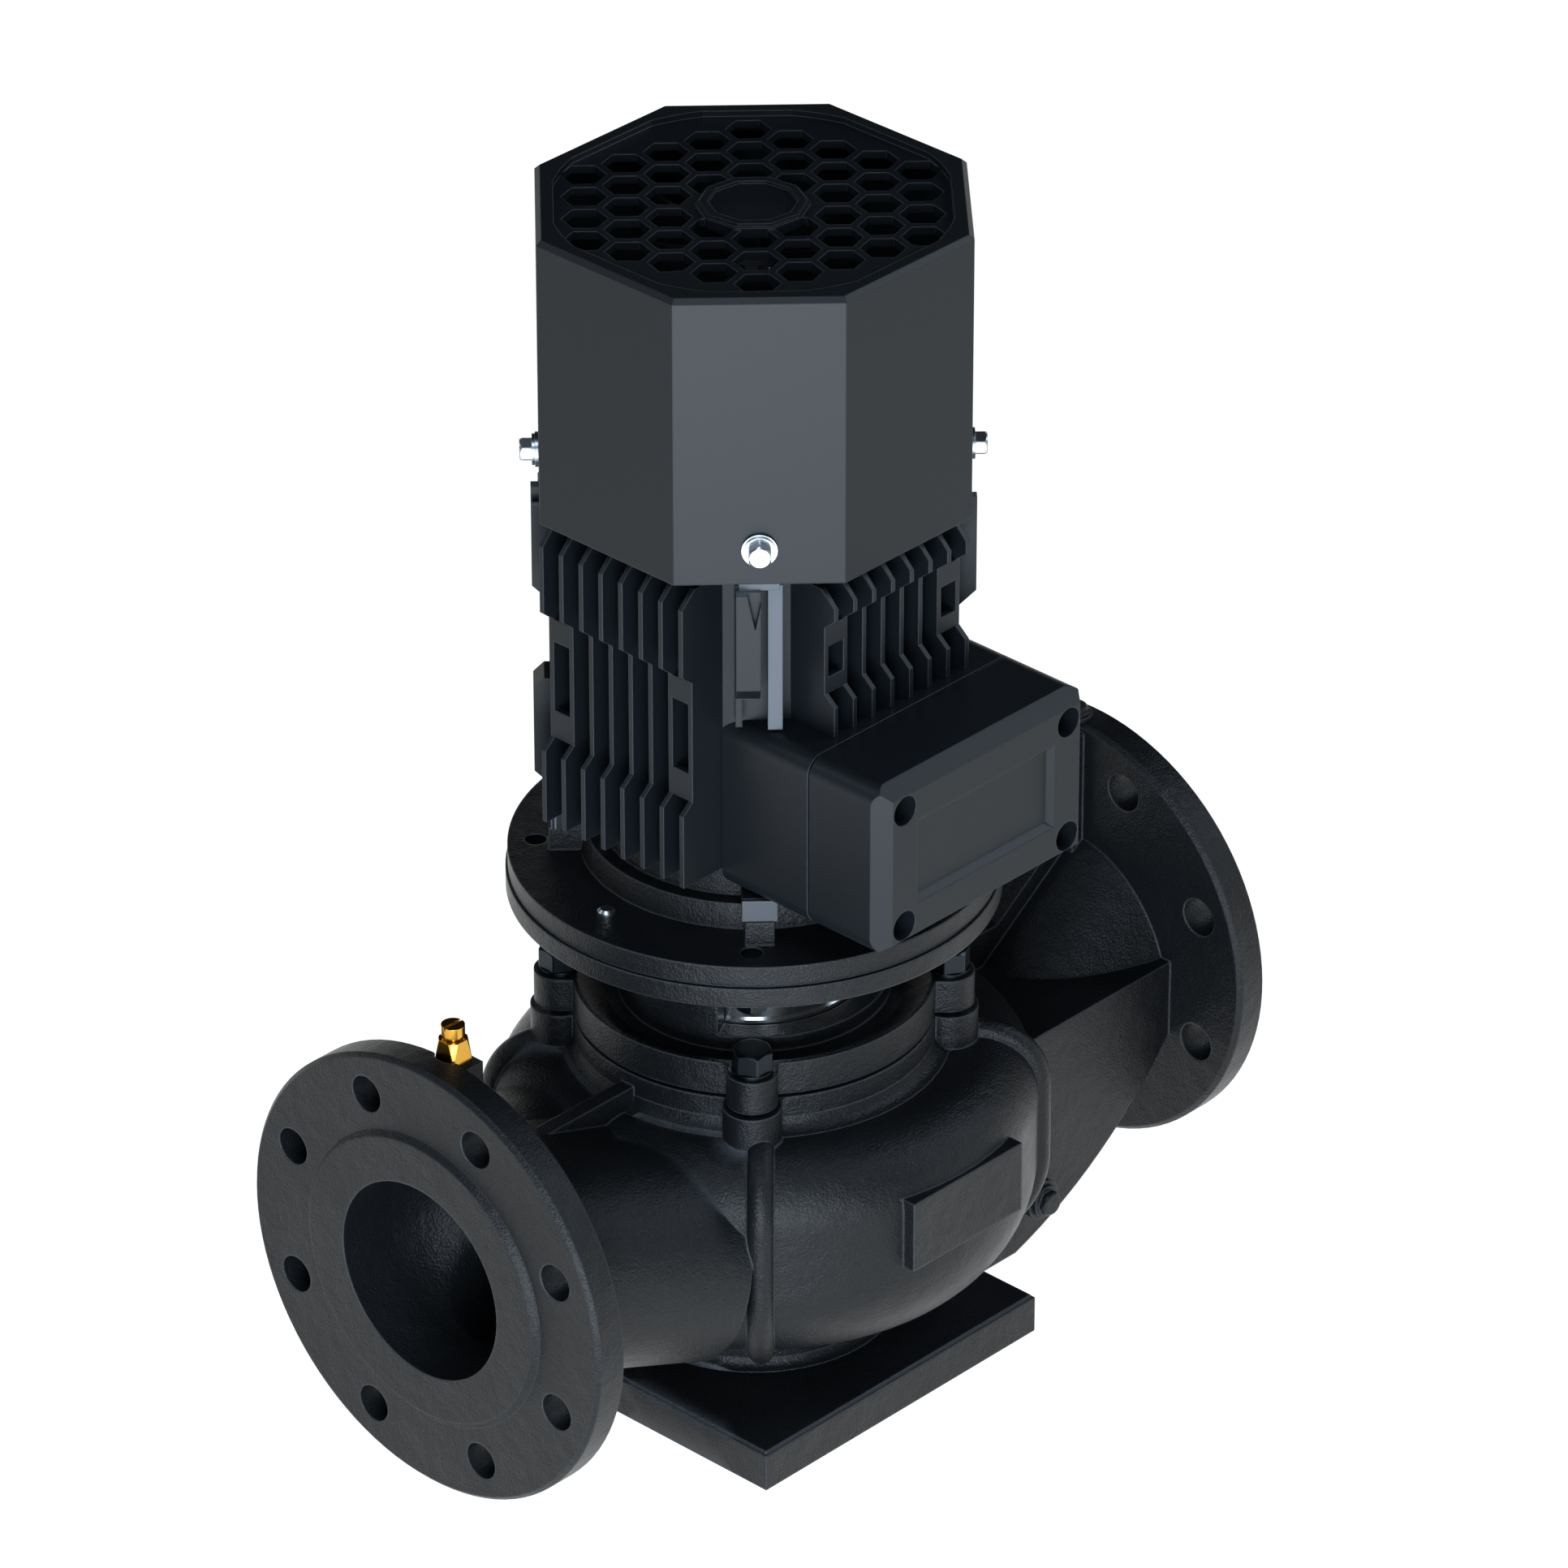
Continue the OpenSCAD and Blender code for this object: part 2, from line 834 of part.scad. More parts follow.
module impeller_nut() {
    color(steel)
        translate([0, 0, hub_low - 12])
            difference() {
                union() {
                    translate([0, 0, 10])
                        cylinder(r = 14, h = 2 - eps, $fn = 32);
                    mirror([0, 0, 1])
                        translate([0, 0, -10])
                            hex_head(24, 10);
                }
                translate([0, 0, -1])
                    cylinder(r = 8, h = 20, $fn = 32);
            }
}

module shaft() {
    color(steel)
        difference() {
            union() {
                cylinder_at(hub_low - 14, 8, 20, 32);
                cylinder_at(hub_low, shaft_r - 2, hub_top - hub_low + 1);
                cylinder_at(hub_top, shaft_r, 420 - hub_top);
                cylinder_at(lower_bearing_z + bearing_h, 16, upper_bearing_z - lower_bearing_z - bearing_h);
                cylinder_at(420, shaft_r, 40);
                cylinder_at(455, 9, fan_z + 34 - 455, 40);
                cylinder_at(240, 22, 4);
            }
            translate([-3, shaft_r - 5.5, hub_low + 4.9])
                cube([6, 6, 30.2]);
            translate([-2, 6.5, fan_z + 3])
                cube([4, 5, 20]);
        }
}

module drive_end_shield() {
    color(iron)
        difference() {
            union() {
                cylinder_at(disc_mid, disc_r, disc_thk, 128);
                translate([0, 0, disc_top - eps])
                    cylinder(r1 = 79.5, r2 = 77.5, h = lug_h, $fn = 96);
                cylinder_at(disc_top, 70, frame_z - disc_top, 72);
                cylinder_at(frame_z - eps, stator_r, 6, 72);
                around(4, 45)
                    translate([68, -6.5, disc_top - eps])
                        cube([26, 13, lug_h + eps]);
                cylinder_at(disc_low + 1, 40, 30);
            }
            cylinder_at(lower_bearing_z, bearing_r, 60, 64);
            cylinder_at(200, 23, 100);
            cylinder_at(lower_bearing_z + bearing_h, 60, 60, 72);
            around(4, ear_turn)
                translate([disc_bolt_r, 0, disc_mid - 1])
                    cylinder(r = 5.1, h = disc_thk + 2, $fn = 24);
            around(4, 45)
                translate([84, 0, disc_top + 2])
                    cylinder(r = 3.1, h = 46, $fn = 24);
            around(4, ear_turn - 45)
                translate([disc_screw_r, 0, disc_mid - 5])
                    cylinder(r = 3, h = 30, $fn = 24);
        }
}

module disc_bolts() {
    color(zinc)
        around(4, ear_turn)
            translate([disc_bolt_r, 0, disc_low])
                mirror([0, 0, 1]) {
                    hex_head(14, 8);
                    translate([0, 0, 1 - 2 * disc_thk])
                        cylinder(r = 5, h = 2 * disc_thk - 1 + eps, $fn = 24);
                }
}

module disc_screws() {
    color(zinc)
        around(4, ear_turn - 45)
            translate([disc_screw_r, 0, disc_top]) {
                cylinder(r = 4.2, h = 1.6, $fn = 32);
                translate([0, 0, 1.6 - eps])
                    cylinder(r1 = 4.2, r2 = 2.8, h = 1.2, $fn = 32);
                translate([0, 0, 2 - 2 * disc_thk])
                    cylinder(r = 2.9, h = 2 * disc_thk - 2 + eps, $fn = 24);
            }
}

module bearing_outer(z) {
    color(steel)
        translate([0, 0, z])
            difference() {
                cylinder(r = bearing_r - run_gap / 5, h = bearing_h, $fn = 64);
                translate([0, 0, -1])
                    cylinder(r = 25, h = bearing_h + 2, $fn = 48);
            }
    color(rubber)
        for (dz = [0.6, bearing_h - 2.6]) {
            translate([0, 0, z + dz])
                ring(25 + eps, 19.2, 2, 48);
        }
}

module bearing_inner(z) {
    color(steel)
        translate([0, 0, z])
            ring(18.6, shaft_r, bearing_h, 48);
}

module lower_bearing_outer() {
    bearing_outer(lower_bearing_z);
}

module lower_bearing_inner() {
    bearing_inner(lower_bearing_z);
}

module upper_bearing_outer() {
    bearing_outer(upper_bearing_z);
}

module upper_bearing_inner() {
    bearing_inner(upper_bearing_z);
}

module bearing_spring() {
    color(steel)
        cylinder_ring(upper_bearing_z + bearing_h + eps, bearing_r - 0.5, 26, 1.6);
}

module cylinder_ring(z, r_out, r_in, h) {
    translate([0, 0, z])
        ring(r_out, r_in, h, 48);
}

// Outline of one fin seen from its side, from the barrel out to the tip.
module fin_outline(step_low, step_top, low) {
    tip = fin_tip;
    mid = fin_tip - fin_step;
    polygon([
        [60, low],
        [tip, low],
        [tip, step_low - 5],
        [mid, step_low],
        [mid, step_top],
        [tip, step_top + 5],
        [tip, fin_top - 8],
        [tip - 8, fin_top],
        [60, fin_top]
    ]);
}

// Upright fins on the +X side, the two outermost on each hand tied by a low and a top bar.
module fin_group(step_low, step_top, bar_low, bar_top) {
    low = frame_z + 3;
    pitch = fin_span / (fins - 1);
    bar_x = fin_tip - fin_step - 3;
    for (i = [0 : fins - 1]) {
        translate([0, -fin_span / 2 + i * pitch + fin_thk / 2, 0])
            rotate([90, 0, 0])
                linear_extrude(height = fin_thk)
                    fin_outline(step_low, step_top, low);
    }
    for (s = [-1, 1]) {
        translate([bar_x, s * (fin_span - pitch) / 2 - pitch / 2, 0]) {
            translate([0, 0, step_low])
                cube([3, pitch, bar_low]);
            translate([0, 0, step_top - bar_top])
                cube([3, pitch, bar_top]);
        }
    }
}

// Arm for the cowl screw with an offset rib below it, a pointed notch in the rib's top and a flat strip beside it.
module corner_boss() {
    low = 392;
    strip_low = box_z + box_h / 2 + 1;
    arm = cowl_face - cowl_wall - eps;
    rib_wid = 11;
    rib_y = -10.5;
    strip_y = 3.8;
    strip_wid = 6.6;
    arm_low = cowl_z - 4.5;
    translate([column_root, -column_half - 1, arm_low])
        cube([arm - column_root, 2 * column_half + 2, collar_top - arm_low]);
    difference() {
        translate([0, rib_y + rib_wid, 0])
            rotate([90, 0, 0])
                linear_extrude(height = rib_wid)
                    polygon([
                        [column_root, low],
                        [column_reach - 2 * column_cut, low],
                        [column_reach, low + 2 * column_cut],
                        [column_reach, arm_low],
                        [arm - 1, arm_low + eps],
                        [arm - 1, arm_low + 2],
                        [column_root, arm_low + 2]
                    ]);
        translate([column_reach - 4, rib_y + rib_wid - 2.5, arm_low + 3])
            rotate([0, 90, 0])
                linear_extrude(height = 10)
                    polygon([[0, -4], [0, 4], [20, 0]]);
    }
    translate([column_root, strip_y, strip_low])
        cube([arm - 3 - column_root, strip_wid, arm_low - strip_low + 1]);
    translate([column_root, rib_y, strip_low])
        cube([88 - column_root, 3, low - strip_low + 1]);
}

// Lower boss of the two corner columns that the terminal box leaves free.
module corner_block() {
    top = 358;
    low = 305;
    rotate([90, 0, 0])
        translate([0, 0, -column_half])
            linear_extrude(height = 2 * column_half)
                polygon([
                    [column_root, low],
                    [column_reach - column_cut, low],
                    [column_reach, low + column_cut],
                    [column_reach, top - column_cut],
                    [column_reach - column_cut, top],
                    [column_root, top]
                ]);
}

// Foot of a column, which stands on a lug of the lower disc.
module corner_foot() {
    under_box = box_z - box_h / 2 - gap;
    translate([column_root, -column_half, disc_top + lug_h])
        cube([93 - column_root, 2 * column_half, under_box - disc_top - lug_h]);
    translate([column_root, -column_half, disc_top + lug_h])
        cube([8, 2 * column_half, frame_z + 4 - disc_top - lug_h]);
}

// Barrel: thin between the fins, full at the four corners.
module barrel() {
    difference() {
        cylinder_at(frame_z, corner_r, fin_top - frame_z, 96);
        around(4)
            translate([0, -fin_span / 2, frame_z - 1])
                cube([100, fin_span, 200]);
    }
    cylinder_at(frame_z, barrel_r, fin_top - frame_z, 96);
}

module motor_frame() {
    color(alu)
        difference() {
            union() {
                barrel();
                cylinder_at(fin_top - 4, 74, collar_top - fin_top + 4, 72);
                for (side = [0, 90, 180]) {
                    rotate([0, 0, side])
                        fin_group(341, 402, 14, 11.5);
                }
                difference() {
                    translate([-1.5, 0, 0])
                        rotate([0, 0, 270])
                            fin_group(396, 430, 8, 10.5);
                    box_room();
                }
                around(4, 45) {
                    corner_boss();
                    corner_foot();
                }
                for (side = [45, 135]) {
                    rotate([0, 0, side])
                        corner_block();
                }
            }
            cylinder_at(frame_z - 30, stator_r, 300, 72);
            around(4, 45)
                translate([84, 0, frame_z - 30])
                    cylinder(r = 3.1, h = 40, $fn = 24);
            around(4, 45)
                translate([78, 0, cowl_screw_z])
                    rotate([0, 90, 0])
                        cylinder(r = 3.1, h = 30, $fn = 24);
        }
}

// The room that the terminal box takes out of the fins above it.
module box_room() {
    translate([-box_w / 2 - gap, -box_seam - 10, box_z - box_h])
        cube([box_w + 2 * gap, box_seam - 30, 1.5 * box_h + gap]);
}

module frame_screws() {
    color(zinc)
        around(4, 45)
            translate([84, 0, disc_top + 2])
                cylinder(r = 3, h = 20, $fn = 24);
}

module stator_core() {
    color([0.45, 0.46, 0.48])
        difference() {
            cylinder_at(stator_low, stator_r, stator_top - stator_low, 72);
            cylinder_at(stator_low - 1, rotor_r + 0.5, 200, 64);
            around(18)
                translate([rotor_r + 3, -2.5, stator_low - 1])
                    cube([13, 5, 200]);
        }
}

module windings() {
    color(copper)
        for (z = [stator_low - 14, stator_top + eps]) {
            translate([0, 0, z])
                rotate_extrude($fn = 64)
                    translate([50, 7])
                        rounded_rect(20, 14 - eps, 5);
        }
}

module rotor_core() {
    color([0.5, 0.51, 0.53])
        difference() {
            union() {
                cylinder_at(stator_low, rotor_r, stator_top - stator_low, 64);
                cylinder_at(stator_low - 8, rotor_r - 4, stator_top - stator_low + 16, 64);
            }
            cylinder_at(stator_low - 20, 16, 200);
            for (z = [stator_low - 9, stator_top + 3]) {
                translate([0, 0, z])
                    ring(rotor_r - 10, 15, 6, 48);
            }
        }
}

module top_end_shield() {
    color(alu)
        difference() {
            union() {
                cylinder_at(fin_top - 14, stator_r, 14, 72);
                cylinder_at(fin_top - 14, bearing_r + 7, 28, 64);
            }
            cylinder_at(upper_bearing_z, bearing_r, bearing_h + 3, 64);
            cylinder_at(400, 22, 100);
        }
}

module fan() {
    hub = 15;
    tip = 76;
    color([0.1, 0.1, 0.11])
        difference() {
            union() {
                cylinder_at(fan_z, hub, 32);
                cylinder_at(fan_z + 1, tip - 8, 2.5, 64);
                around(9)
                    translate([hub - 3, -1.2, fan_z + 2])
                        cube([tip - hub, 2.4, 36]);
            }
            cylinder_at(fan_z - 10, 9, 100, 40);
            translate([-2, 6.5, fan_z + 3])
                cube([4, 5, 60]);
        }
}

module fan_key() {
    color(steel)
        translate([-2, 6.5, fan_z + 3.1])
            cube([4, 4.4, 19.8]);
}

module octagon(inset) {
    f = cowl_face - inset;
    m = cowl_main - inset;
    intersection() {
        square([2 * m, 2 * m], center = true);
        rotate(45)
            square([2 * f, 2 * f], center = true);
    }
}

// Honeycomb of the cowl's top, its rows square to the screw faces.
module grille_holes() {
    column = grille_pitch * sqrt(3) / 2;
    reach = 82;
    centre = 20;
    for (i = [-4 : 4]) {
        for (k = [-4 : 4]) {
            row = k + (i % 2 == 0 ? 0.5 : 0);
            place = [i * column, row * grille_pitch];
            if (norm(place) < reach && norm(place) > centre)
                translate(place)
                    circle(r = (grille_pitch - grille_bar) / sqrt(3), $fn = 6);
        }
    }
}

// Long block with its two upper edges cut off; four of them make the eight-sided cowl.
module cowl_slab(half, turn) {
    edge = 2.4;
    rotate([90, 0, turn])
        translate([0, 0, -cowl_main - 10])
            linear_extrude(height = 2 * cowl_main + 20)
                polygon([
                    [-half, cowl_z],
                    [half, cowl_z],
                    [half, cowl_top - edge],
                    [half - edge, cowl_top],
                    [edge - half, cowl_top],
                    [-half, cowl_top - edge]
                ]);
}

module fan_cowl() {
    rim = 8;
    sink = 3;
    plate = 4;
    color(alu)
        difference() {
            intersection() {
                cowl_slab(cowl_main, 0);
                cowl_slab(cowl_face, 45);
                cowl_slab(cowl_main, 90);
                cowl_slab(cowl_face, 135);
            }
            translate([0, 0, cowl_z - 1])
                linear_extrude(height = cowl_top - cowl_z - sink - plate + 1)
                    octagon(cowl_wall);
            translate([0, 0, cowl_top - sink])
                linear_extrude(height = 10)
                    intersection() {
                        octagon(rim);
                        circle(r = 90.5, $fn = 72);
                    }
            translate([0, 0, cowl_top - sink - plate - 1])
                linear_extrude(height = 20)
                    rotate(-45)
                        grille_holes();
            around(4, 45)
                translate([cowl_face - 10, 0, cowl_screw_z])
                    rotate([0, 90, 0])
                        cylinder(r = 3.3, h = 20, $fn = 24);
        }
    color(alu)
        grille_boss();
}

module grille_boss() {
    translate([0, 0, cowl_top - 7 + eps])
        rotate([0, 0, -45])
            difference() {
                union() {
                    cylinder(r = 25.5, h = 5, $fn = 10);
                    cylinder(r = 24, h = 6.5, $fn = 10);
                }
                translate([0, 0, 5])
                    cylinder(r = 20, h = 3, $fn = 10);
            }
}

module cowl_screws() {
    color(zinc)
        around(4, 45)
            translate([cowl_face + 1.6, 0, cowl_screw_z])
                rotate([0, 90, 0]) {
                    hex_head(10, 7, 7.2, 1.4);
                    translate([0, 0, -18])
                        cylinder(r = 3, h = 18 + eps, $fn = 24);
                }
}

module cowl_washers() {
    color(zinc)
        around(4, 45)
            translate([cowl_face, 0, cowl_screw_z])
                rotate([0, 90, 0])
                    ring(8, 3.2, 1.6, 32);
}

// Upright rounded rectangle in the XZ plane, its near side on y = -y0.
module box_block(y0, depth, inset, r) {
    translate([0, -y0, box_z])
        rotate([-90, 0, 0])
            linear_extrude(height = depth)
                rounded_rect(box_w - 2 * inset, box_h - 2 * inset, r);
}

module cover_pattern() {
    for (sx = [-1, 1]) {
        for (sz = [-1, 1]) {
            translate([sx * screw_dx / 2, 0, box_z + sz * screw_dz / 2])
                children();
        }
    }
}

module box_base() {
    floor_y = barrel_r + 5;
    color(alu)
        difference() {
            box_block(box_seam, box_seam - box_back, 0, box_r);
            difference() {
                box_block(box_seam + 1, box_seam + 1 - floor_y, 4, 6);
                cover_pattern()
                    translate([0, -box_seam - 2, 0])
                        rotate([-90, 0, 0])
                            cylinder(r = 6.5, h = 30, $fn = 32);
            }
            barrel();
            cylinder_at(box_z - box_h / 2 - 1, corner_r, 10, 96);
            cover_pattern()
                translate([0, -box_seam - 1, 0])
                    rotate([-90, 0, 0])
                        cylinder(r = 2.1, h = 20, $fn = 16);
            translate([30, -box_seam + 12, box_z - box_h / 2 - 1])
                cylinder(r = 8.2, h = 8, $fn = 32);
        }
}

module box_gasket() {
    color(rubber)
        difference() {
            box_block(box_seam + 1, 1 - eps, 1.2, 8);
            box_block(box_seam + 2, 4, 4, 6);
            cover_pattern()
                translate([0, -box_seam - 3, 0])
                    rotate([-90, 0, 0])
                        cylinder(r = 2.5, h = 6, $fn = 16);
        }
}

// Cover with slanted edges, four screw wells and a sunk blank panel.
module box_cover() {
    panel_w = 91;
    panel_h = 43;
    panel_d = 3;
    well_r = 7.2;
    well_d = 21;
    back = box_seam + 1;
    color(alu)
        difference() {
            union() {
                difference() {
                    intersection() {
                        box_block(cover_face_y, cover_face_y - back, 0, box_r);
                        translate([0, -cover_face_y, box_z])
                            slant_bar(box_h / 2, cover_edge, cover_slant);
                        translate([0, -cover_face_y, box_z])
                            rotate([0, 90, 0])
                                slant_bar(box_w / 2, cover_edge, cover_slant);
                    }
                    box_block(cover_face_y - cover_slant, cover_d, 4, 6);
                }
                cover_pattern()
                    translate([0, -cover_face_y + cover_slant, 0])
                        rotate([-90, 0, 0])
                            cylinder(r = 10.4, h = cover_face_y - back - cover_slant, $fn = 32);
            }
            box_outside();
            intersection() {
                translate([0, -cover_face_y + panel_d, box_z])
                    panel_bar(panel_h / 2, panel_d);
                translate([0, -cover_face_y + panel_d, box_z])
                    rotate([0, 90, 0])
                        panel_bar(panel_w / 2, panel_d);
            }
            cover_pattern()
                translate([0, -cover_face_y - 1, 0])
                    rotate([-90, 0, 0])
                        cylinder(r = well_r, h = well_d, $fn = 32);
            cover_pattern()
                translate([0, -cover_face_y - 1, 0])
                    rotate([-90, 0, 0])
                        cylinder(r = 2.6, h = 60, $fn = 16);
        }
}

// Bar along X, its face on y = 0 with both long edges slanted: cut in from the side, back from the face.
module slant_bar(half, side, back) {
    translate([-box_w, 0, 0])
        rotate([90, 0, 90])
            linear_extrude(height = 2 * box_w)
                polygon([
                    [0, side - half],
                    [0, half - side],
                    [back, half],
                    [2 * box_w, half],
                    [2 * box_w, -half],
                    [back, -half]
                ]);
}

// Bar along X that widens towards the viewer at 45 degrees, from its floor on y = 0.
module panel_bar(half, depth) {
    translate([-box_w, 0, 0])
        rotate([90, 0, 90])
            linear_extrude(height = 2 * box_w)
                polygon([
                    [0, depth - half],
                    [0, half - depth],
                    [-2 * depth, half + depth],
                    [-2 * depth, -half - depth]
                ]);
}

// Everything beyond the rounded outline of the box, so that the screw posts stay inside it.
module box_outside() {
    difference() {
        translate([-box_w, -cover_face_y - 5, box_z - box_h])
            cube([2 * box_w, cover_d + 10, 2 * box_h]);
        box_block(cover_face_y + 10, cover_d + 30, 0, box_r);
    }
}

module cover_screws() {
    color(zinc)
        cover_pattern()
            translate([0, -cover_face_y + 16, 0])
                rotate([-90, 0, 0])
                    difference() {
                        union() {
                            cylinder(r = 4.4, h = 4, $fn = 24);
                            cylinder(r = 2, h = 42, $fn = 16);
                        }
                        translate([0, 0, -1])
                            cylinder(r = 2.3, h = 3, $fn = 6);
                    }
}

module terminal_board() {
    color([0.24, 0.15, 0.1])
        difference() {
            translate([-34, -board_y, box_z - 18])
                cube([68, board_y - barrel_r - 5, 36]);
            for (x = [-22, 0, 22]) {
                translate([x - 9, -board_y - 1, box_z - 2])
                    cube([18, 5, 4]);
            }
            stud_pattern()
                cylinder(r = 2.5, h = 12, center = true, $fn = 16);
        }
}

// Six places on the face of the terminal board, looking out of the box.
module stud_pattern() {
    for (x = [-22, 0, 22]) {
        for (z = [-9, 9]) {
            translate([x, -board_y, box_z + z])
                rotate([90, 0, 0])
                    children();
        }
    }
}

module terminal_studs() {
    color(brass)
        stud_pattern() {
            translate([0, 0, eps])
                hex_head(8, 3.5, 5, 1);
            translate([0, 0, -5.9])
                cylinder(r = 2.5, h = 13, $fn = 16);
        }
}

module entry_plug() {
    color(rubber)
        translate([30, -box_seam + 12, box_z - box_h / 2])
            mirror([0, 0, 1]) {
                translate([0, 0, -4])
                    cylinder(r = 8, h = 5, $fn = 32);
                hex_head(22, 5, 13, 2);
            }
}

base_plate();
base_screws();
casing();
casing_gasket();
wear_ring();
drain_plug();
gauge_plugs();
vent_body();
vent_screw();
lantern();
ring_bolts();
ring_washers();
backplate();
seal_cover();
seal_seat();
seal_head();
seal_spring();
impeller();
impeller_key();
impeller_nut();
shaft();
drive_end_shield();
disc_bolts();
disc_screws();
lower_bearing_outer();
lower_bearing_inner();
upper_bearing_outer();
upper_bearing_inner();
bearing_spring();
motor_frame();
frame_screws();
stator_core();
windings();
rotor_core();
top_end_shield();
fan();
fan_key();
fan_cowl();
cowl_screws();
cowl_washers();
box_base();
box_gasket();
box_cover();
cover_screws();
terminal_board();
terminal_studs();
entry_plug();
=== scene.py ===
"""Looks of a vertical inline circulation pump: cast volute, lantern, finned motor, terminal box and fan cowl.

Everything is in metres, +Z up along the shaft and +X along the pipe from suction to discharge.
The origin is where the shaft axis meets the underside of the base plate.
"""

import math

import bpy
import numpy as np
from mathutils import Matrix, Vector


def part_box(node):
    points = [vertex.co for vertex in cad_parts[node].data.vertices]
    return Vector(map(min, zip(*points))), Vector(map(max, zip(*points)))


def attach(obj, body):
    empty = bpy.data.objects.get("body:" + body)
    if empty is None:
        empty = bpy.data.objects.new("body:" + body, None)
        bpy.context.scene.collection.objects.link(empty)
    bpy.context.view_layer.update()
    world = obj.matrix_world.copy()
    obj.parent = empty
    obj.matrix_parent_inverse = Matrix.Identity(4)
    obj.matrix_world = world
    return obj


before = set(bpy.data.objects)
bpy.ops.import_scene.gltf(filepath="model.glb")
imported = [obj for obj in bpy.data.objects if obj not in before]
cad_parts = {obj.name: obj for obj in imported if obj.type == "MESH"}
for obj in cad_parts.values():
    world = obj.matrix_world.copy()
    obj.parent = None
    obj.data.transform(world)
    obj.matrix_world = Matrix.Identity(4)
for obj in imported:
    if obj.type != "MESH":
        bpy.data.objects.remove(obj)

bl_info = {
    "name": "Inline circulation pump",
    "version": (1, 0, 0),
    "blender": (4, 5, 0),
    "location": "View3D > Sidebar > Pump",
    "description": "Finishes, cast fillets and studio of a vertical inline circulation pump",
    "category": "Object",
}

MM = 0.001
SHARP_ANGLE = math.radians(35)
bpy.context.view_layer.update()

# Which nodes share a finish
IRON_NODES = ["base_plate", "casing", "drain_plug", "gauge_plugs", "lantern", "backplate", "drive_end_shield"]
MOTOR_NODES = ["top_end_shield", "fan_cowl", "box_base", "box_cover"]
ZINC_NODES = ["base_screws", "disc_screws", "frame_screws", "cowl_screws", "cowl_washers", "cover_screws"]
OXIDE_NODES = ["ring_bolts", "ring_washers", "disc_bolts"]
BRASS_NODES = ["vent_body", "vent_screw", "terminal_studs"]
BRONZE_NODES = ["impeller", "wear_ring"]
RUBBER_NODES = ["casing_gasket", "box_gasket", "seal_head", "entry_plug"]
STAINLESS_NODES = ["seal_cover", "seal_spring", "impeller_nut"]
GROUND_NODES = [
    "impeller_key", "shaft", "lower_bearing_outer", "lower_bearing_inner",
    "upper_bearing_outer", "upper_bearing_inner", "bearing_spring", "fan_key",
]

# The soft corner of suction neck and volute, in millimetres: where it starts, is full, ends to be full and ends,
# along the pipe and away from the pipe's middle plane, and its top
NECK_ALONG = (-185, -160, -70, -55)
NECK_ASIDE = (8, 14, 66, 76)
NECK_TOP = 164

# Bare pads of the motor's corner columns, in millimetres: from and to, away from the shaft along the diagonal,
# in height and aside of the diagonal, then the share of bare metal
BARE_PADS = [
    ((92.4, 200), (0, 298.5), (-1, 200), 0.6),  # feet on the disc
    ((93, 200), (449.4, 454.5), (-1, 200), 1.0),  # arms under the cowl
    ((90.4, 91.2), (0, 600), (-1, 11), 1.0),  # thin strips
]

# Softboxes: power setting, width and height in metres, degrees round from the camera, degrees above the horizon
# and distance in metres
LAMPS = {
    "key_softbox": ("key_power", (0.5, 1.3), 0, 13, 1.7),
    "low_softbox": ("low_power", (0.7, 0.35), 0, -9, 1.05),
    "high_softbox": ("high_power", (0.6, 0.4), -15, 62, 1.5),
    "left_softbox": ("left_power", (0.6, 0.8), -97, 34, 2.0),
    "right_softbox": ("right_power", (0.6, 0.8), 97, 34, 2.0),
}
LAMP_COLOUR = "e2effd"
LAMP_AIM = (0, 0, 0.32)


def linear(code):
    """Linear red, green, blue of an sRGB hex value such as 2b2f32."""
    parts = [int(code[i : i + 2], 16) / 255 for i in (0, 2, 4)]
    return [c / 12.92 if c <= 0.04045 else ((c + 0.055) / 1.055) ** 2.4 for c in parts]


def colour(name, code, text):
    """A colour setting for the sidebar, its default given as an sRGB hex value."""
    return bpy.props.FloatVectorProperty(
        name=name, description=text, default=linear(code), subtype="COLOR", size=3, min=0, max=1
    )


def length(name, millimetres, text):
    """A length setting for the sidebar, its default given in millimetres."""
    return bpy.props.FloatProperty(
        name=name, description=text, default=millimetres * MM, unit="LENGTH", min=0, precision=4
    )


def watts(name, value, text):
    """A lamp's power for the sidebar."""
    return bpy.props.FloatProperty(name=name, description=text, default=value, subtype="POWER")


def turned(name, degrees, text):
    """An angle for the sidebar, its default given in degrees."""
    return bpy.props.FloatProperty(
        name=name, description=text, default=math.radians(degrees), subtype="ANGLE"
    )


class PumpFinishes(bpy.types.PropertyGroup):
    """Colours and grain of the finishes."""

    iron_paint: colour("Iron paint", "141618", "Black paint on the sand-cast iron")
    motor_coat: colour("Motor coat", "15191d", "Charcoal powder coat on the die-cast motor and box")
    # Pale tone of bare metal and worn paint, also used as a painted highlight on edges and in corners
    bare_metal_and_edge_highlight: colour("Edges", "666c72", "Tone of the thin paint on edges and in corners")
    oxide: colour("Black oxide", "2e3338", "Oxide skin of the dark bolts")
    zinc: colour("Zinc", "b9bfc4", "Zinc plating of the bright screws")
    brass: colour("Brass", "d9a441", "Turned brass of the vent")
    sand_grain: length("Sand grain", 1.2, "Width of the sand's grain on the castings")
    sheen_patch: length("Sheen patch", 45, "Width of the patches in which the castings' sheen drifts")
    sand_depth: length("Grain depth", 0.5, "Height of the sand's grain on the castings")
    coat_grain: length("Coat grain", 0.9, "Width of the powder coat's peel")
    coat_depth: length("Peel depth", 0.012, "Height of the powder coat's peel")
    iron_edge: length("Iron edge", 1.8, "Radius of the rounded edges on the castings")
    neck_blend: length("Neck blend", 16, "Radius of the corner of suction neck and volute")
    motor_edge: length("Motor edge", 0.8, "Radius of the rounded edges on the motor")


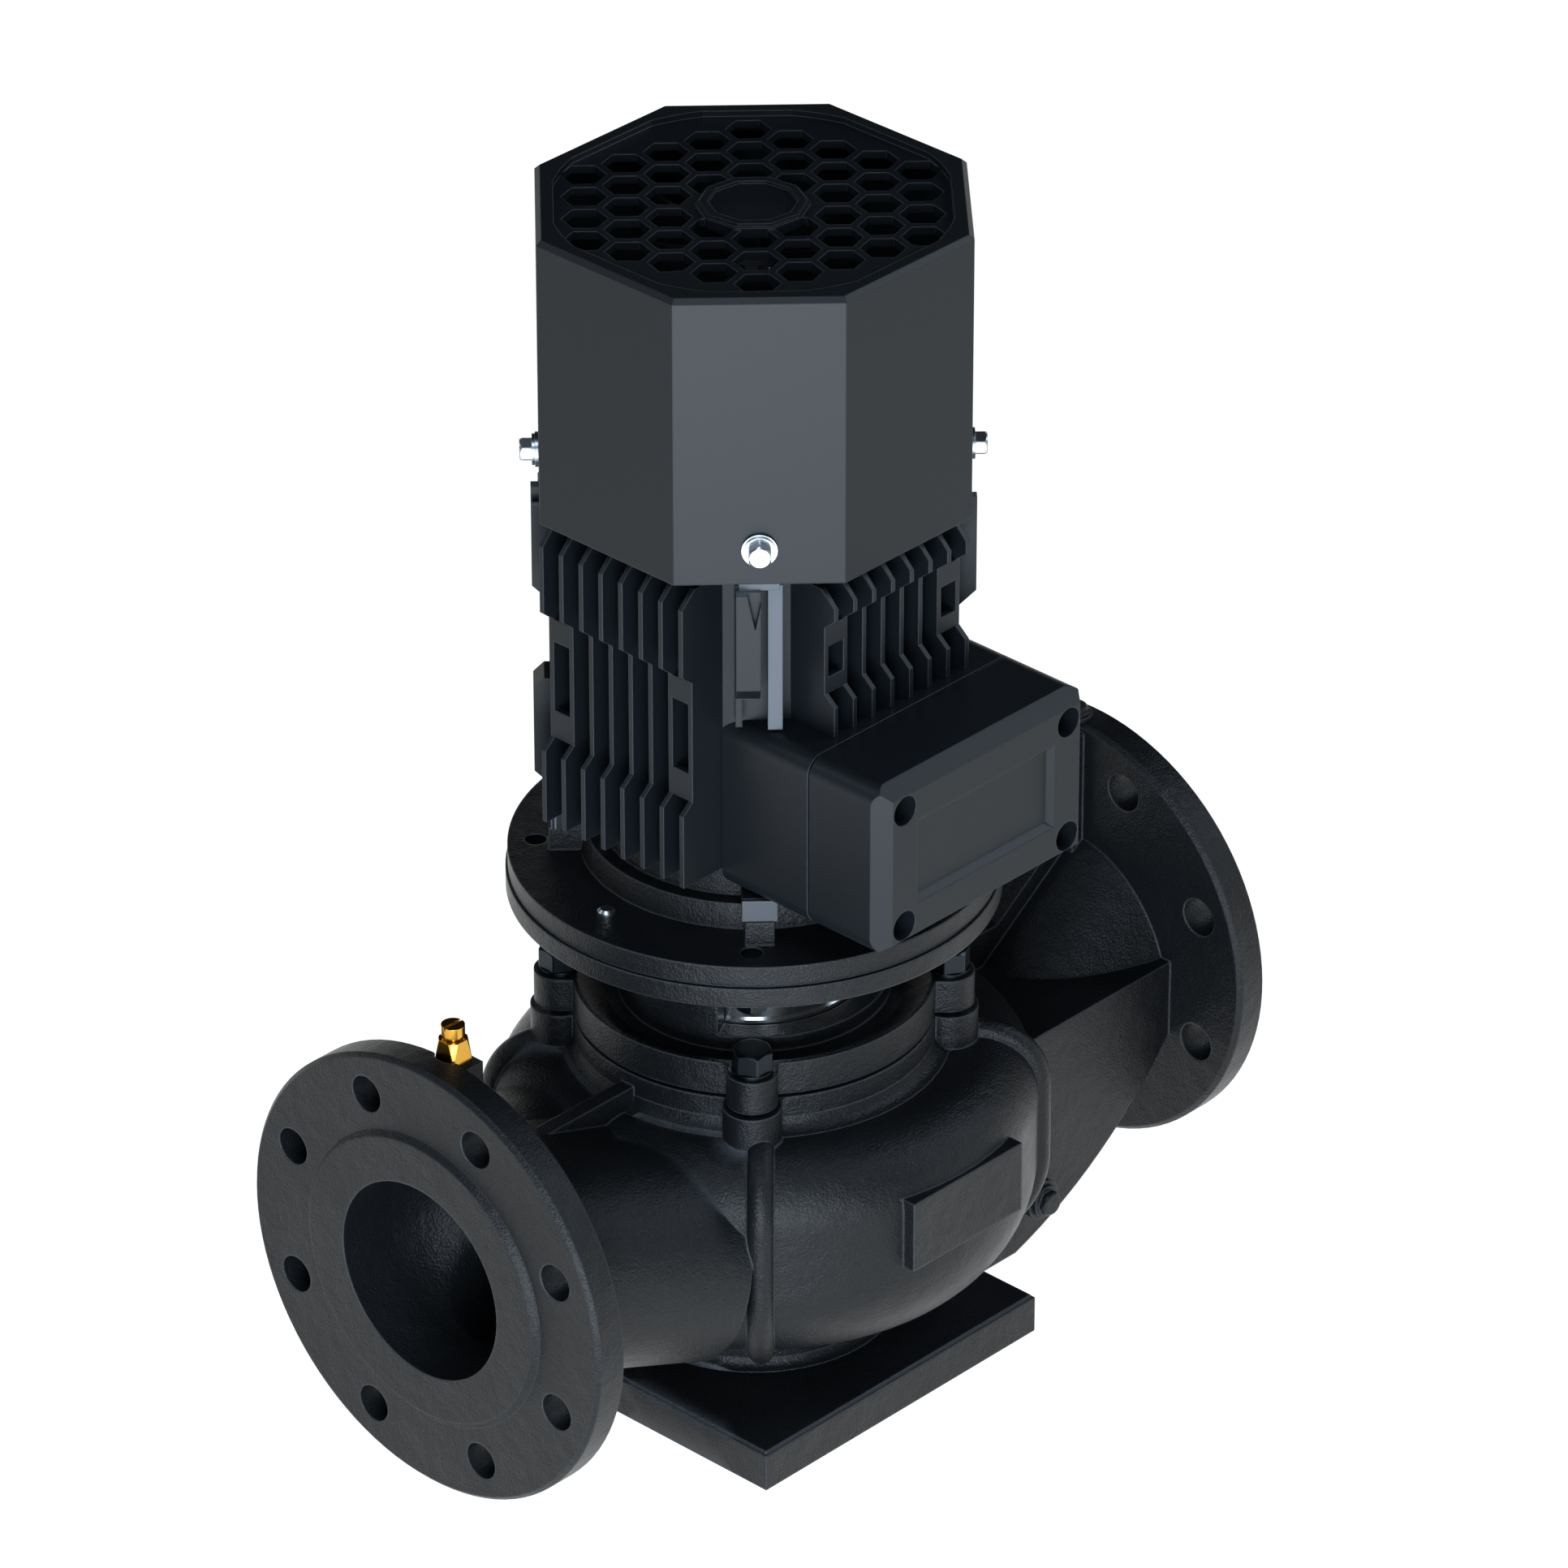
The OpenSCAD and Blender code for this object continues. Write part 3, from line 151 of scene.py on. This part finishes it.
class PumpFillets(bpy.types.PropertyGroup):
    """Sizes of the cast fillets, which the sand mould leaves in every corner."""

    ring_fillet: length("Ring fillet", 7, "Radius in the corner of the ring and the volute's shoulder")
    hub_fillet: length("Hub fillet", 11, "Radius in the corner of a flange and its neck")
    foot_fillet: length("Foot fillet", 5, "Radius in the corner of the foot and the base plate")


class PumpStudio(bpy.types.PropertyGroup):
    """Camera, lamps and floor."""

    camera_turn: turned("Turn", -46.736, "Angle of the camera round the pump")
    camera_rise: turned("Rise", 30.158, "Angle of the camera above the horizon")
    camera_away: length("Distance", 4722.97, "Camera to the point it looks at")
    camera_right: length("Sideways", 13.68, "Shift of that point to the right")
    camera_up: length("Upwards", 256.39, "Shift of that point upwards in the picture")
    focal: bpy.props.FloatProperty(name="Lens", description="Focal length on the film, in mm", default=230.19)
    key_power: watts("Key", 13, "Lamp in front")
    low_power: watts("Low", 8.5, "Low lamp in front")
    left_power: watts("Left", 4, "Lamp on the left")
    right_power: watts("Right", 12, "Lamp on the right")
    high_power: watts("High", 5, "High lamp in front")
    room: bpy.props.FloatProperty(name="Room", description="Light of the dim room", default=0.012, min=0)


def add(tree, kind, inputs=None, out=0, **settings):
    """Adds a shader node and gives its output of that name or place, or the node itself where it has none.

    The inputs are values or sockets by socket name or place, and the settings are the node's own properties.
    """
    made = tree.nodes.new("ShaderNode" + kind)
    for key, value in settings.items():
        setattr(made, key, value)
    for key, value in (inputs or {}).items():
        if isinstance(value, bpy.types.NodeSocket):
            tree.links.new(value, made.inputs[key])
        else:
            made.inputs[key].default_value = value
    return made.outputs[out] if made.outputs else made


def new_material(name):
    """A material without nodes, and its node tree."""
    made = bpy.data.materials.new(name)
    made.use_nodes = True
    made.node_tree.nodes.clear()
    return made, made.node_tree


def rgba(values):
    """A colour setting as four numbers."""
    return [values[0], values[1], values[2], 1.0]


def worn_and_highlit_edges(tree, bevel):
    """Share of the pale tone on edges and in corners, for worn thin paint and a painted highlight: how far the
    rounded normal leans off the face's own.
    """
    flat = add(tree, "NewGeometry", out="Normal")
    dot = add(tree, "VectorMath", {0: bevel, 1: flat}, "Value", operation="DOT_PRODUCT")
    lean = add(tree, "Math", {0: 1.0, 1: dot}, operation="SUBTRACT")
    return add(tree, "MapRange", {"Value": lean, "From Min": 0.03, "From Max": 0.35, "To Max": 0.6})


def window(tree, value, stops):
    """1 between the middle two stops and 0 outside the outer two, which are in millimetres."""
    start, full, last, end = [stop * MM for stop in stops]
    rise = add(tree, "MapRange", {"Value": value, "From Min": start, "From Max": full})
    drop = {"Value": value, "From Min": last, "From Max": end, "To Min": 1.0, "To Max": 0.0}
    fall = add(tree, "MapRange", drop)
    return add(tree, "Math", {0: rise, 1: fall}, operation="MULTIPLY")


def within(tree, value, low, high):
    """1 where the value lies between low and high, in millimetres, else 0."""
    above = add(tree, "Math", {0: value, 1: low * MM}, operation="GREATER_THAN")
    below = add(tree, "Math", {0: value, 1: high * MM}, operation="LESS_THAN")
    return add(tree, "Math", {0: above, 1: below}, operation="MULTIPLY")


def cast_radius(tree, where, finish):
    """Radius of the castings' rounded edges: wide where the suction neck runs into the volute."""
    x, y, height = add(tree, "SeparateXYZ", {0: where}).node.outputs
    aside = add(tree, "Math", {0: y}, operation="ABSOLUTE")
    share = add(tree, "Math", {0: height, 1: NECK_TOP * MM}, operation="LESS_THAN")
    for value, stops in ((x, NECK_ALONG), (aside, NECK_ASIDE)):
        share = add(tree, "Math", {0: share, 1: window(tree, value, stops)}, operation="MULTIPLY")
    return add(tree, "MapRange", {"Value": share, "To Min": finish.iron_edge, "To Max": finish.neck_blend})


def cast_iron_paint(finish):
    """Black paint over sand-cast iron: the sand's grain shows through, and edges and corners are painted
    lighter, as worn paint and as a painted highlight.

    The grain is fine noise plus half as much again of a noise nine times as wide. The sheen drifts in patches.
    """
    made, tree = new_material("black_paint_over_sand_cast_iron")
    where = add(tree, "TexCoord", out="Object")
    bevel = add(tree, "Bevel", {"Radius": cast_radius(tree, where, finish)}, samples=6)
    grains = {"Vector": where, "Scale": 1 / finish.sand_grain, "Detail": 3.0, "Roughness": 0.6}
    sand = add(tree, "TexNoise", grains)
    lumps = add(tree, "TexNoise", {"Vector": where, "Scale": 1 / (9 * finish.sand_grain)})
    height = add(tree, "Math", {0: lumps, 1: 1.5, 2: sand}, operation="MULTIPLY_ADD")
    patches = add(tree, "TexNoise", {"Vector": where, "Scale": 1 / finish.sheen_patch})
    sheen = {"Value": patches, "From Min": 0.3, "From Max": 0.7, "To Min": 0.31, "To Max": 0.4}
    # Edges and corners mixed towards the pale tone: worn paint and a painted highlight
    bare = worn_and_highlit_edges(tree, bevel)
    shares = {"Factor": bare, "A": rgba(finish.iron_paint), "B": rgba(finish.bare_metal_and_edge_highlight)}
    shader = {
        "Base Color": add(tree, "Mix", shares, "Result", data_type="RGBA"),
        "Roughness": add(tree, "MapRange", sheen),
        "IOR": 1.45,
        "Specular IOR Level": 0.31,
        "Normal": add(tree, "Bump", {"Distance": finish.sand_depth, "Height": height, "Normal": bevel}),
    }
    add(tree, "OutputMaterial", {"Surface": add(tree, "BsdfPrincipled", shader)})
    return made


def machined_pads(tree, where):
    """Share of bare metal on the pads of the corner columns."""
    x, y, height = add(tree, "SeparateXYZ", {0: where}).node.outputs
    x, y = (add(tree, "Math", {0: value}, operation="ABSOLUTE") for value in (x, y))
    away = add(tree, "Math", {0: x, 1: y}, operation="ADD")
    aside = add(tree, "Math", {0: x, 1: y}, operation="SUBTRACT")
    aside = add(tree, "Math", {0: aside}, operation="ABSOLUTE")
    away, aside = (
        add(tree, "Math", {0: value, 1: math.sqrt(0.5)}, operation="MULTIPLY") for value in (away, aside)
    )
    most = 0.0
    for *limits, share in BARE_PADS:
        for value, (low, high) in zip((away, height, aside), limits):
            inside = within(tree, value, low, high)
            share = add(tree, "Math", {0: inside, 1: share}, operation="MULTIPLY")
        most = add(tree, "Math", {0: share, 1: most}, operation="MAXIMUM")
    return most


def motor_powder_coat(finish, name, pads=False):
    """Satin charcoal powder coat on die-cast aluminium: fine peel, edges and corners painted lighter as wear and
    as a painted highlight and, if asked, bare pads.
    """
    made, tree = new_material(name)
    where = add(tree, "TexCoord", out="Object")
    bevel = add(tree, "Bevel", {"Radius": finish.motor_edge}, samples=6)
    peel = add(tree, "TexNoise", {"Vector": where, "Scale": 1 / finish.coat_grain})
    # Edges and corners mixed towards the pale tone: worn paint and a painted highlight
    bare = worn_and_highlit_edges(tree, bevel)
    if pads:
        bare = add(tree, "Math", {0: bare, 1: machined_pads(tree, where)}, operation="MAXIMUM")
    shares = {"Factor": bare, "A": rgba(finish.motor_coat), "B": rgba(finish.bare_metal_and_edge_highlight)}
    shader = {
        "Base Color": add(tree, "Mix", shares, "Result", data_type="RGBA"),
        "Roughness": 0.42,
        "IOR": 1.45,
        "Specular IOR Level": 0.31,
        "Normal": add(tree, "Bump", {"Distance": finish.coat_depth, "Height": peel, "Normal": bevel}),
    }
    add(tree, "OutputMaterial", {"Surface": add(tree, "BsdfPrincipled", shader)})
    return made


def plain_metal(name, tone, roughness, edge, scratch=0.0):
    """A bare metal: its own colour, rounded edges and, if scratch isn't 0, fine marks of that height."""
    made, tree = new_material(name)
    normal = add(tree, "Bevel", {"Radius": edge}, samples=6)
    if scratch:
        where = add(tree, "TexCoord", out="Object")
        marks = add(tree, "TexNoise", {"Vector": where, "Scale": 1 / (0.5 * MM)})
        normal = add(tree, "Bump", {"Distance": scratch, "Height": marks, "Normal": normal})
    shader = {"Base Color": rgba(tone), "Metallic": 1.0, "Roughness": roughness, "Normal": normal}
    add(tree, "OutputMaterial", {"Surface": add(tree, "BsdfPrincipled", shader)})
    return made


def ridged_metal(name, code, roughness, pitch, height, strength, lathe=False):
    """A metal with fine even ridges: a sine of the height, one wave per pitch.

    If it comes off a lathe, the distance from the shaft is added to the height, so flat ends have rings too.
    """
    made, tree = new_material(name)
    where = add(tree, "TexCoord", out="Object")
    along = add(tree, "SeparateXYZ", {0: where}, "Z")
    if lathe:
        flat = add(tree, "VectorMath", {0: where, 1: (1.0, 1.0, 0.0)}, operation="MULTIPLY")
        radius = add(tree, "VectorMath", {0: flat}, "Value", operation="LENGTH")
        along = add(tree, "Math", {0: radius, 1: along}, operation="ADD")
    turn = add(tree, "Math", {0: along, 1: 2 * math.pi / pitch}, operation="MULTIPLY")
    wave = add(tree, "Math", {0: turn}, operation="SINE")
    shader = {
        "Base Color": rgba(linear(code)),
        "Metallic": 1.0,
        "Roughness": roughness,
        "Normal": add(tree, "Bump", {"Strength": strength, "Distance": height, "Height": wave}),
    }
    add(tree, "OutputMaterial", {"Surface": add(tree, "BsdfPrincipled", shader)})
    return made


def plain_body(name, code, roughness, level):
    """A moulded or fired material without metal, in one colour."""
    made, tree = new_material(name)
    shader = {"Base Color": rgba(linear(code)), "Roughness": roughness, "Specular IOR Level": level}
    add(tree, "OutputMaterial", {"Surface": add(tree, "BsdfPrincipled", shader)})
    return made


def wear(names, material):
    """Gives the named nodes one material."""
    for name in names:
        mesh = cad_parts[name].data
        mesh.materials.clear()
        mesh.materials.append(material)


def closed_grid(name, points, material):
    """A closed surface from a grid of points: rows go round the section, columns along the closed path."""
    rows, columns = points.shape[:2]
    index = np.arange(rows * columns).reshape(rows, columns)
    down = np.roll(index, -1, axis=0)
    corners = [index, down, np.roll(down, -1, axis=1), np.roll(index, -1, axis=1)]
    faces = np.stack(corners, axis=-1).reshape(-1, 4)
    mesh = bpy.data.meshes.new(name)
    mesh.from_pydata(points.reshape(-1, 3).tolist(), [], faces.tolist())
    mesh.polygons.foreach_set("use_smooth", np.ones(len(mesh.polygons), bool))
    if signed_volume(points.reshape(-1, 3), faces) < 0:
        mesh.flip_normals()
    mesh.set_sharp_from_angle(angle=SHARP_ANGLE)
    mesh.materials.append(material)
    made = bpy.data.objects.new(name, mesh)
    bpy.context.scene.collection.objects.link(made)
    return made


def signed_volume(points, quads):
    """Volume of a closed mesh of quads, below 0 when inside out: a sixth of the sum of a . (b x c)."""
    a, b, c, d = (points[quads[:, i]] for i in range(4))
    return (a * (np.cross(b, c) + np.cross(c, d))).sum() / 6


def fillet_section(radius, steps=10, sink=0.6 * MM):
    """Section of a cast fillet in a square corner, as (out, up) from the corner, a closed loop.

    The hollow side is a quarter circle about (radius, radius). The other sides lie sink inside the walls.
    """
    turn = np.linspace(-math.pi / 2, -math.pi, steps)
    hollow = np.stack([radius + radius * np.cos(turn), radius + radius * np.sin(turn)], axis=1)
    backs = np.array([[-sink, radius], [-sink, -sink], [radius, -sink]])
    return np.concatenate([hollow, backs])


def material_named(name):
    """A material that an earlier step made."""
    found = bpy.data.materials.get(name)
    if found is None:
        raise RuntimeError(f"make the finishes first: there is no {name}")
    return found


class PUMP_OT_castings(bpy.types.Operator):
    """Paints the iron castings black"""

    bl_idname = "pump.castings"
    bl_label = "Paint the castings"

    def execute(self, context):
        wear(IRON_NODES, cast_iron_paint(context.scene.pump_finishes))
        return {"FINISHED"}


class PUMP_OT_motor(bpy.types.Operator):
    """Powder coats the motor, its cowl and the terminal box"""

    bl_idname = "pump.motor"
    bl_label = "Coat the motor"

    def execute(self, context):
        finish = context.scene.pump_finishes
        wear(MOTOR_NODES, motor_powder_coat(finish, "satin_powder_coat_on_die_cast_aluminium"))
        wear(["motor_frame"], motor_powder_coat(finish, "satin_powder_coat_with_machined_pads", pads=True))
        # Injection moulded, slightly glossy
        wear(["fan"], plain_body("moulded_black_nylon", "18191a", 0.5, 0.3))
        # Pressed from resin and fibre
        wear(["terminal_board"], plain_body("pressed_brown_resin_board", "4a3226", 0.45, 0.4))
        return {"FINISHED"}


class PUMP_OT_fasteners(bpy.types.Operator):
    """Plates the screws and blackens the bolts"""

    bl_idname = "pump.fasteners"
    bl_label = "Finish the fasteners"

    def execute(self, context):
        finish = context.scene.pump_finishes
        # Electroplated, so bright and a little cloudy
        wear(ZINC_NODES, plain_metal("bright_zinc_plate_on_steel", finish.zinc, 0.3, 0.3 * MM))
        # Hot blackened and oiled
        wear(OXIDE_NODES, plain_metal("black_oxide_on_steel", finish.oxide, 0.32, 0.5 * MM, 0.004 * MM))
        return {"FINISHED"}


class PUMP_OT_fittings(bpy.types.Operator):
    """Finishes the brass, bronze and stainless parts"""

    bl_idname = "pump.fittings"
    bl_label = "Finish the fittings"

    def execute(self, context):
        finish = context.scene.pump_finishes
        # Turned from bar
        wear(BRASS_NODES, plain_metal("turned_brass", finish.brass, 0.2, 0.35 * MM))
        # As cast, with a sand skin
        wear(BRONZE_NODES, plain_metal("sand_cast_bronze", linear("a9763f"), 0.42, 0.8 * MM, 0.03 * MM))
        # Polished on a lathe, with half millimetre rings
        rings = ridged_metal("turned_stainless_steel", "d3d6d8", 0.16, 0.5 * MM, 0.004 * MM, 0.5, lathe=True)
        wear(STAINLESS_NODES, rings)
        # Cut sheet and moulded bellows
        wear(RUBBER_NODES, plain_body("matt_black_rubber", "141415", 0.7, 0.3))
        # Ground flat and pale
        wear(["seal_seat"], plain_body("ground_alumina", "dcdad4", 0.25, 0.5))
        return {"FINISHED"}


class PUMP_OT_rotor(bpy.types.Operator):
    """Finishes the shaft, bearings, core and windings inside"""

    bl_idname = "pump.rotor"
    bl_label = "Finish the rotor"

    def execute(self, context):
        # Hardened and ground
        wear(GROUND_NODES, plain_metal("ground_bearing_steel", linear("b4b8bb"), 0.18, 0.3 * MM))
        # Half millimetre sheets, drawn one millimetre thick so that they show
        sheets = ridged_metal("stacked_electrical_sheet", "8b8e91", 0.5, 1.0 * MM, 0.05 * MM, 0.6)
        wear(["stator_core", "rotor_core"], sheets)
        # A bundle of 1.2 mm strands that run round the stator
        strands = ridged_metal("varnished_copper_wire", "b0632e", 0.35, 1.2 * MM, 0.3 * MM, 0.8)
        wear(["windings"], strands)
        return {"FINISHED"}


class PUMP_OT_fillets(bpy.types.Operator):
    """Adds the cast fillets of the suction flange, the ring and the foot"""

    bl_idname = "pump.fillets"
    bl_label = "Cast the fillets"

    hub_radius = 64 * MM
    foot_radius = 63 * MM
    flange_thickness = 21 * MM
    pipe_height = 130.5 * MM
    turns = 128
    ring_radius = 84.4 * MM
    shoulder_height = 162.8 * MM
    tube_radius = 30 * MM
    tube_height = 133 * MM
    first_radius = 110 * MM
    quarter_step = 5.5 * MM

    def round_shaft(self, section, radius, height):
        """The section carried round the Z axis: out is added to the radius, up to the height."""
        turn = np.linspace(0, 2 * math.pi, self.turns, endpoint=False)
        out = radius + section[:, :1]
        up = np.broadcast_to(height + section[:, 1:], (len(section), self.turns))
        return np.stack([out * np.cos(turn), out * np.sin(turn), up], axis=-1)

    def round_pipe(self, section, radius, face):
        """The section carried round the pipe axis: out is added to the radius, up leaves the face."""
        turn = np.linspace(0, 2 * math.pi, self.turns, endpoint=False)
        out = radius + section[:, :1]
        along = np.broadcast_to(face + section[:, 1:], (len(section), self.turns))
        return np.stack([along, out * np.cos(turn), self.pipe_height + out * np.sin(turn)], axis=-1)

    def tube_centre(self, turn):
        """Distance from the shaft to the volute tube's centre line, at an angle round the shaft.

        Each quarter is an arc about a corner of a small square, and its radius grows by one step per quarter.
        The distance is where the ray from the shaft meets that arc.
        """
        quarter = math.floor(turn / (math.pi / 2))
        corner = quarter * math.pi / 2 + math.radians(135)
        offset = self.quarter_step / math.sqrt(2)
        reach = self.first_radius + (quarter + 1) * self.quarter_step - self.tube_radius
        along = offset * math.cos(turn - corner)
        return along + math.sqrt(reach**2 - offset**2 + along**2)

    def ring_section(self, turn, radius, steps=10, sink=0.6 * MM):
        """Section (out, up) of the fillet in the corner of the ring's wall and the volute's shoulder.

        Its hollow is an arc about a point one radius outside the wall and one radius clear of the tube, or above
        the flat shoulder where the tube's crest lies further out. The other sides run sink inside the walls.
        """
        crest = self.tube_centre(turn)
        middle = self.ring_radius + radius
        if middle > crest:
            rise = math.sqrt((self.tube_radius + radius) ** 2 - (middle - crest) ** 2)
            height = self.tube_height + rise
            end = math.pi + math.atan2(rise, middle - crest)
        else:
            height = self.shoulder_height + radius
            end = 1.5 * math.pi
        angle = np.linspace(end, math.pi, steps)
        hollow = np.stack([middle + radius * np.cos(angle), height + radius * np.sin(angle)], axis=1)
        low = self.shoulder_height
        if self.ring_radius > crest:
            low = self.tube_height + math.sqrt(self.tube_radius**2 - (self.ring_radius - crest) ** 2)
        wall = self.ring_radius - sink
        foot = hollow[0] + sink * np.array([math.cos(end), math.sin(end)])
        return np.concatenate([hollow, [[wall, height], [wall, low - 2 * sink], foot]])

    def round_ring(self, radius):
        """The ring's section at each angle round the shaft, turned to that angle."""
        turn = np.linspace(0, 2 * math.pi, 2 * self.turns, endpoint=False)
        sections = [self.ring_section(angle, radius) for angle in turn]
        out, up = np.stack(sections, axis=1).transpose(2, 0, 1)
        return np.stack([out * np.cos(turn), out * np.sin(turn), up], axis=-1)

    def execute(self, context):
        sizes = context.scene.pump_fillets
        paint = material_named("black_paint_over_sand_cast_iron")
        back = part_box("casing")[0].x + self.flange_thickness
        plate_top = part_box("base_plate")[1].z
        hub = fillet_section(sizes.hub_fillet)
        foot = fillet_section(sizes.foot_fillet)
        made = [
            closed_grid("suction_hub_fillet", self.round_pipe(hub, self.hub_radius, back), paint),
            closed_grid("ring_fillet", self.round_ring(sizes.ring_fillet), paint),
            closed_grid("foot_fillet", self.round_shaft(foot, self.foot_radius, plate_top), paint),
        ]
        for piece in made:
            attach(piece, "pump")
        return {"FINISHED"}


class PUMP_OT_studio(bpy.types.Operator):
    """Sets up the floor, the lamps, the room and the camera"""

    bl_idname = "pump.studio"
    bl_label = "Set up the studio"

    floor_glow = 0.93

    def towards(self, turn, rise):
        """Direction from the pump at an angle round it from -Y and an angle above the horizon."""
        return Vector((math.sin(turn) * math.cos(rise), -math.cos(turn) * math.cos(rise), math.sin(rise)))

    def lamp(self, name, power, size, turn, rise, away):
        """A softbox that looks at the pump's middle from an angle round the pump and above the horizon."""
        light = bpy.data.lights.new(name, "AREA")
        light.shape = "RECTANGLE"
        light.size, light.size_y = size
        light.energy = power
        light.color = linear(LAMP_COLOUR)
        made = bpy.data.objects.new(name, light)
        back = self.towards(turn, rise)
        made.location = Vector(LAMP_AIM) + back * away
        made.rotation_euler = back.to_track_quat("Z", "Y").to_euler()
        made.visible_camera = False
        bpy.context.scene.collection.objects.link(made)

    def floor(self):
        """A wide round floor whose rim rises into a low wall: flat, then a quarter circle, then upright."""
        hub, flat, bend, wall, turns, steps = 0.01, 14.0, 2.0, 2.2, 96, 12
        turn = np.linspace(0, math.pi / 2, steps)[1:]
        out = np.concatenate([[hub, flat], flat + bend * np.sin(turn), [flat + bend]])
        up = np.concatenate([[0, 0], bend * (1 - np.cos(turn)), [wall]])
        angle = np.linspace(0, 2 * math.pi, turns, endpoint=False)
        across, along = out[:, None] * np.cos(angle), out[:, None] * np.sin(angle)
        points = np.stack([across, along, np.broadcast_to(up[:, None], across.shape)], axis=-1)
        index = np.arange(points.shape[0] * turns).reshape(-1, turns)
        ahead = np.roll(index, -1, axis=1)
        faces = np.stack([index[:-1], index[1:], ahead[1:], ahead[:-1]], axis=-1).reshape(-1, 4).tolist()
        mesh = bpy.data.meshes.new("floor")
        mesh.from_pydata(points.reshape(-1, 3).tolist(), [], faces + [index[0].tolist()])
        mesh.polygons.foreach_set("use_smooth", np.ones(len(mesh.polygons), bool))
        mesh.materials.append(self.floor_paint())
        made = bpy.data.objects.new("floor", mesh)
        bpy.context.scene.collection.objects.link(made)

    def floor_paint(self):
        """Matt pale floor: what the camera, metal and glass see of it is white, less the object's shadow."""
        made, tree = new_material("matt_white_studio_floor")
        seen = add(tree, "LightPath", out="Is Camera Ray")
        rays = seen.node.outputs
        for ray in ("Is Glossy Ray", "Is Transmission Ray"):
            seen = add(tree, "Math", {0: seen, 1: rays[ray]}, operation="MAXIMUM")
        strength = add(tree, "Math", {0: seen, 1: self.floor_glow}, operation="MULTIPLY")
        matt = add(tree, "BsdfDiffuse", {"Color": rgba(linear("c4c4c2"))})
        glow = add(tree, "Emission", {"Color": rgba(linear("fffffd")), "Strength": strength})
        add(tree, "OutputMaterial", {"Surface": add(tree, "AddShader", {0: matt, 1: glow})})
        return made

    def execute(self, context):
        studio = context.scene.pump_studio
        self.floor()
        turn, rise = studio.camera_turn, studio.camera_rise
        for name, (power, size, aside, above, away) in LAMPS.items():
            angles = turn + math.radians(aside), math.radians(above)
            self.lamp(name, getattr(studio, power), size, *angles, away)
        room = bpy.data.worlds.new("dim_room")
        room.use_nodes = True
        ground = room.node_tree.nodes["Background"].inputs
        ground["Color"].default_value = rgba(linear("f4f6f8"))
        ground["Strength"].default_value = studio.room
        context.scene.world = room
        context.scene.view_settings.view_transform = "Standard"
        right = Vector((math.cos(turn), math.sin(turn), 0))
        back = self.towards(turn, rise)
        up = back.cross(right)
        eye = right * studio.camera_right + up * studio.camera_up + back * studio.camera_away
        lens = bpy.data.cameras.new("camera")
        lens.sensor_fit = "HORIZONTAL"
        lens.sensor_width = 36
        lens.lens = studio.focal
        camera = bpy.data.objects.new("camera", lens)
        camera.matrix_world = Matrix.Translation(eye) @ Matrix((right, up, back)).transposed().to_4x4()
        context.scene.collection.objects.link(camera)
        context.scene.camera = camera
        return {"FINISHED"}


class PUMP_PT_sidebar(bpy.types.Panel):
    """Settings and steps of the pump"""

    bl_idname = "PUMP_PT_sidebar"
    bl_label = "Pump"
    bl_space_type = "VIEW_3D"
    bl_region_type = "UI"
    bl_category = "Pump"

    def draw(self, context):
        for name in GROUPS:
            group = getattr(context.scene, name)
            column = self.layout.column()
            for key in group.__annotations__:
                column.prop(group, key)
        for step in OPERATORS:
            self.layout.operator(step.bl_idname)


OPERATORS = [
    PUMP_OT_castings,
    PUMP_OT_motor,
    PUMP_OT_fasteners,
    PUMP_OT_fittings,
    PUMP_OT_rotor,
    PUMP_OT_fillets,
    PUMP_OT_studio,
]
GROUPS = {"pump_finishes": PumpFinishes, "pump_fillets": PumpFillets, "pump_studio": PumpStudio}


def register():
    """Registers the classes and hangs the settings on the scene."""
    for kind in [*GROUPS.values(), *OPERATORS, PUMP_PT_sidebar]:
        bpy.utils.register_class(kind)
    for name, group in GROUPS.items():
        setattr(bpy.types.Scene, name, bpy.props.PointerProperty(type=group))


def unregister():
    """Takes the settings and the classes away again."""
    for name in GROUPS:
        delattr(bpy.types.Scene, name)
    for kind in [PUMP_PT_sidebar, *reversed(OPERATORS), *GROUPS.values()]:
        bpy.utils.unregister_class(kind)


def main():
    """Registers the classes and runs every step in order."""
    register()
    for step in OPERATORS:
        area, name = step.bl_idname.split(".")
        getattr(getattr(bpy.ops, area), name)()


if __name__ == "__main__":
    main()
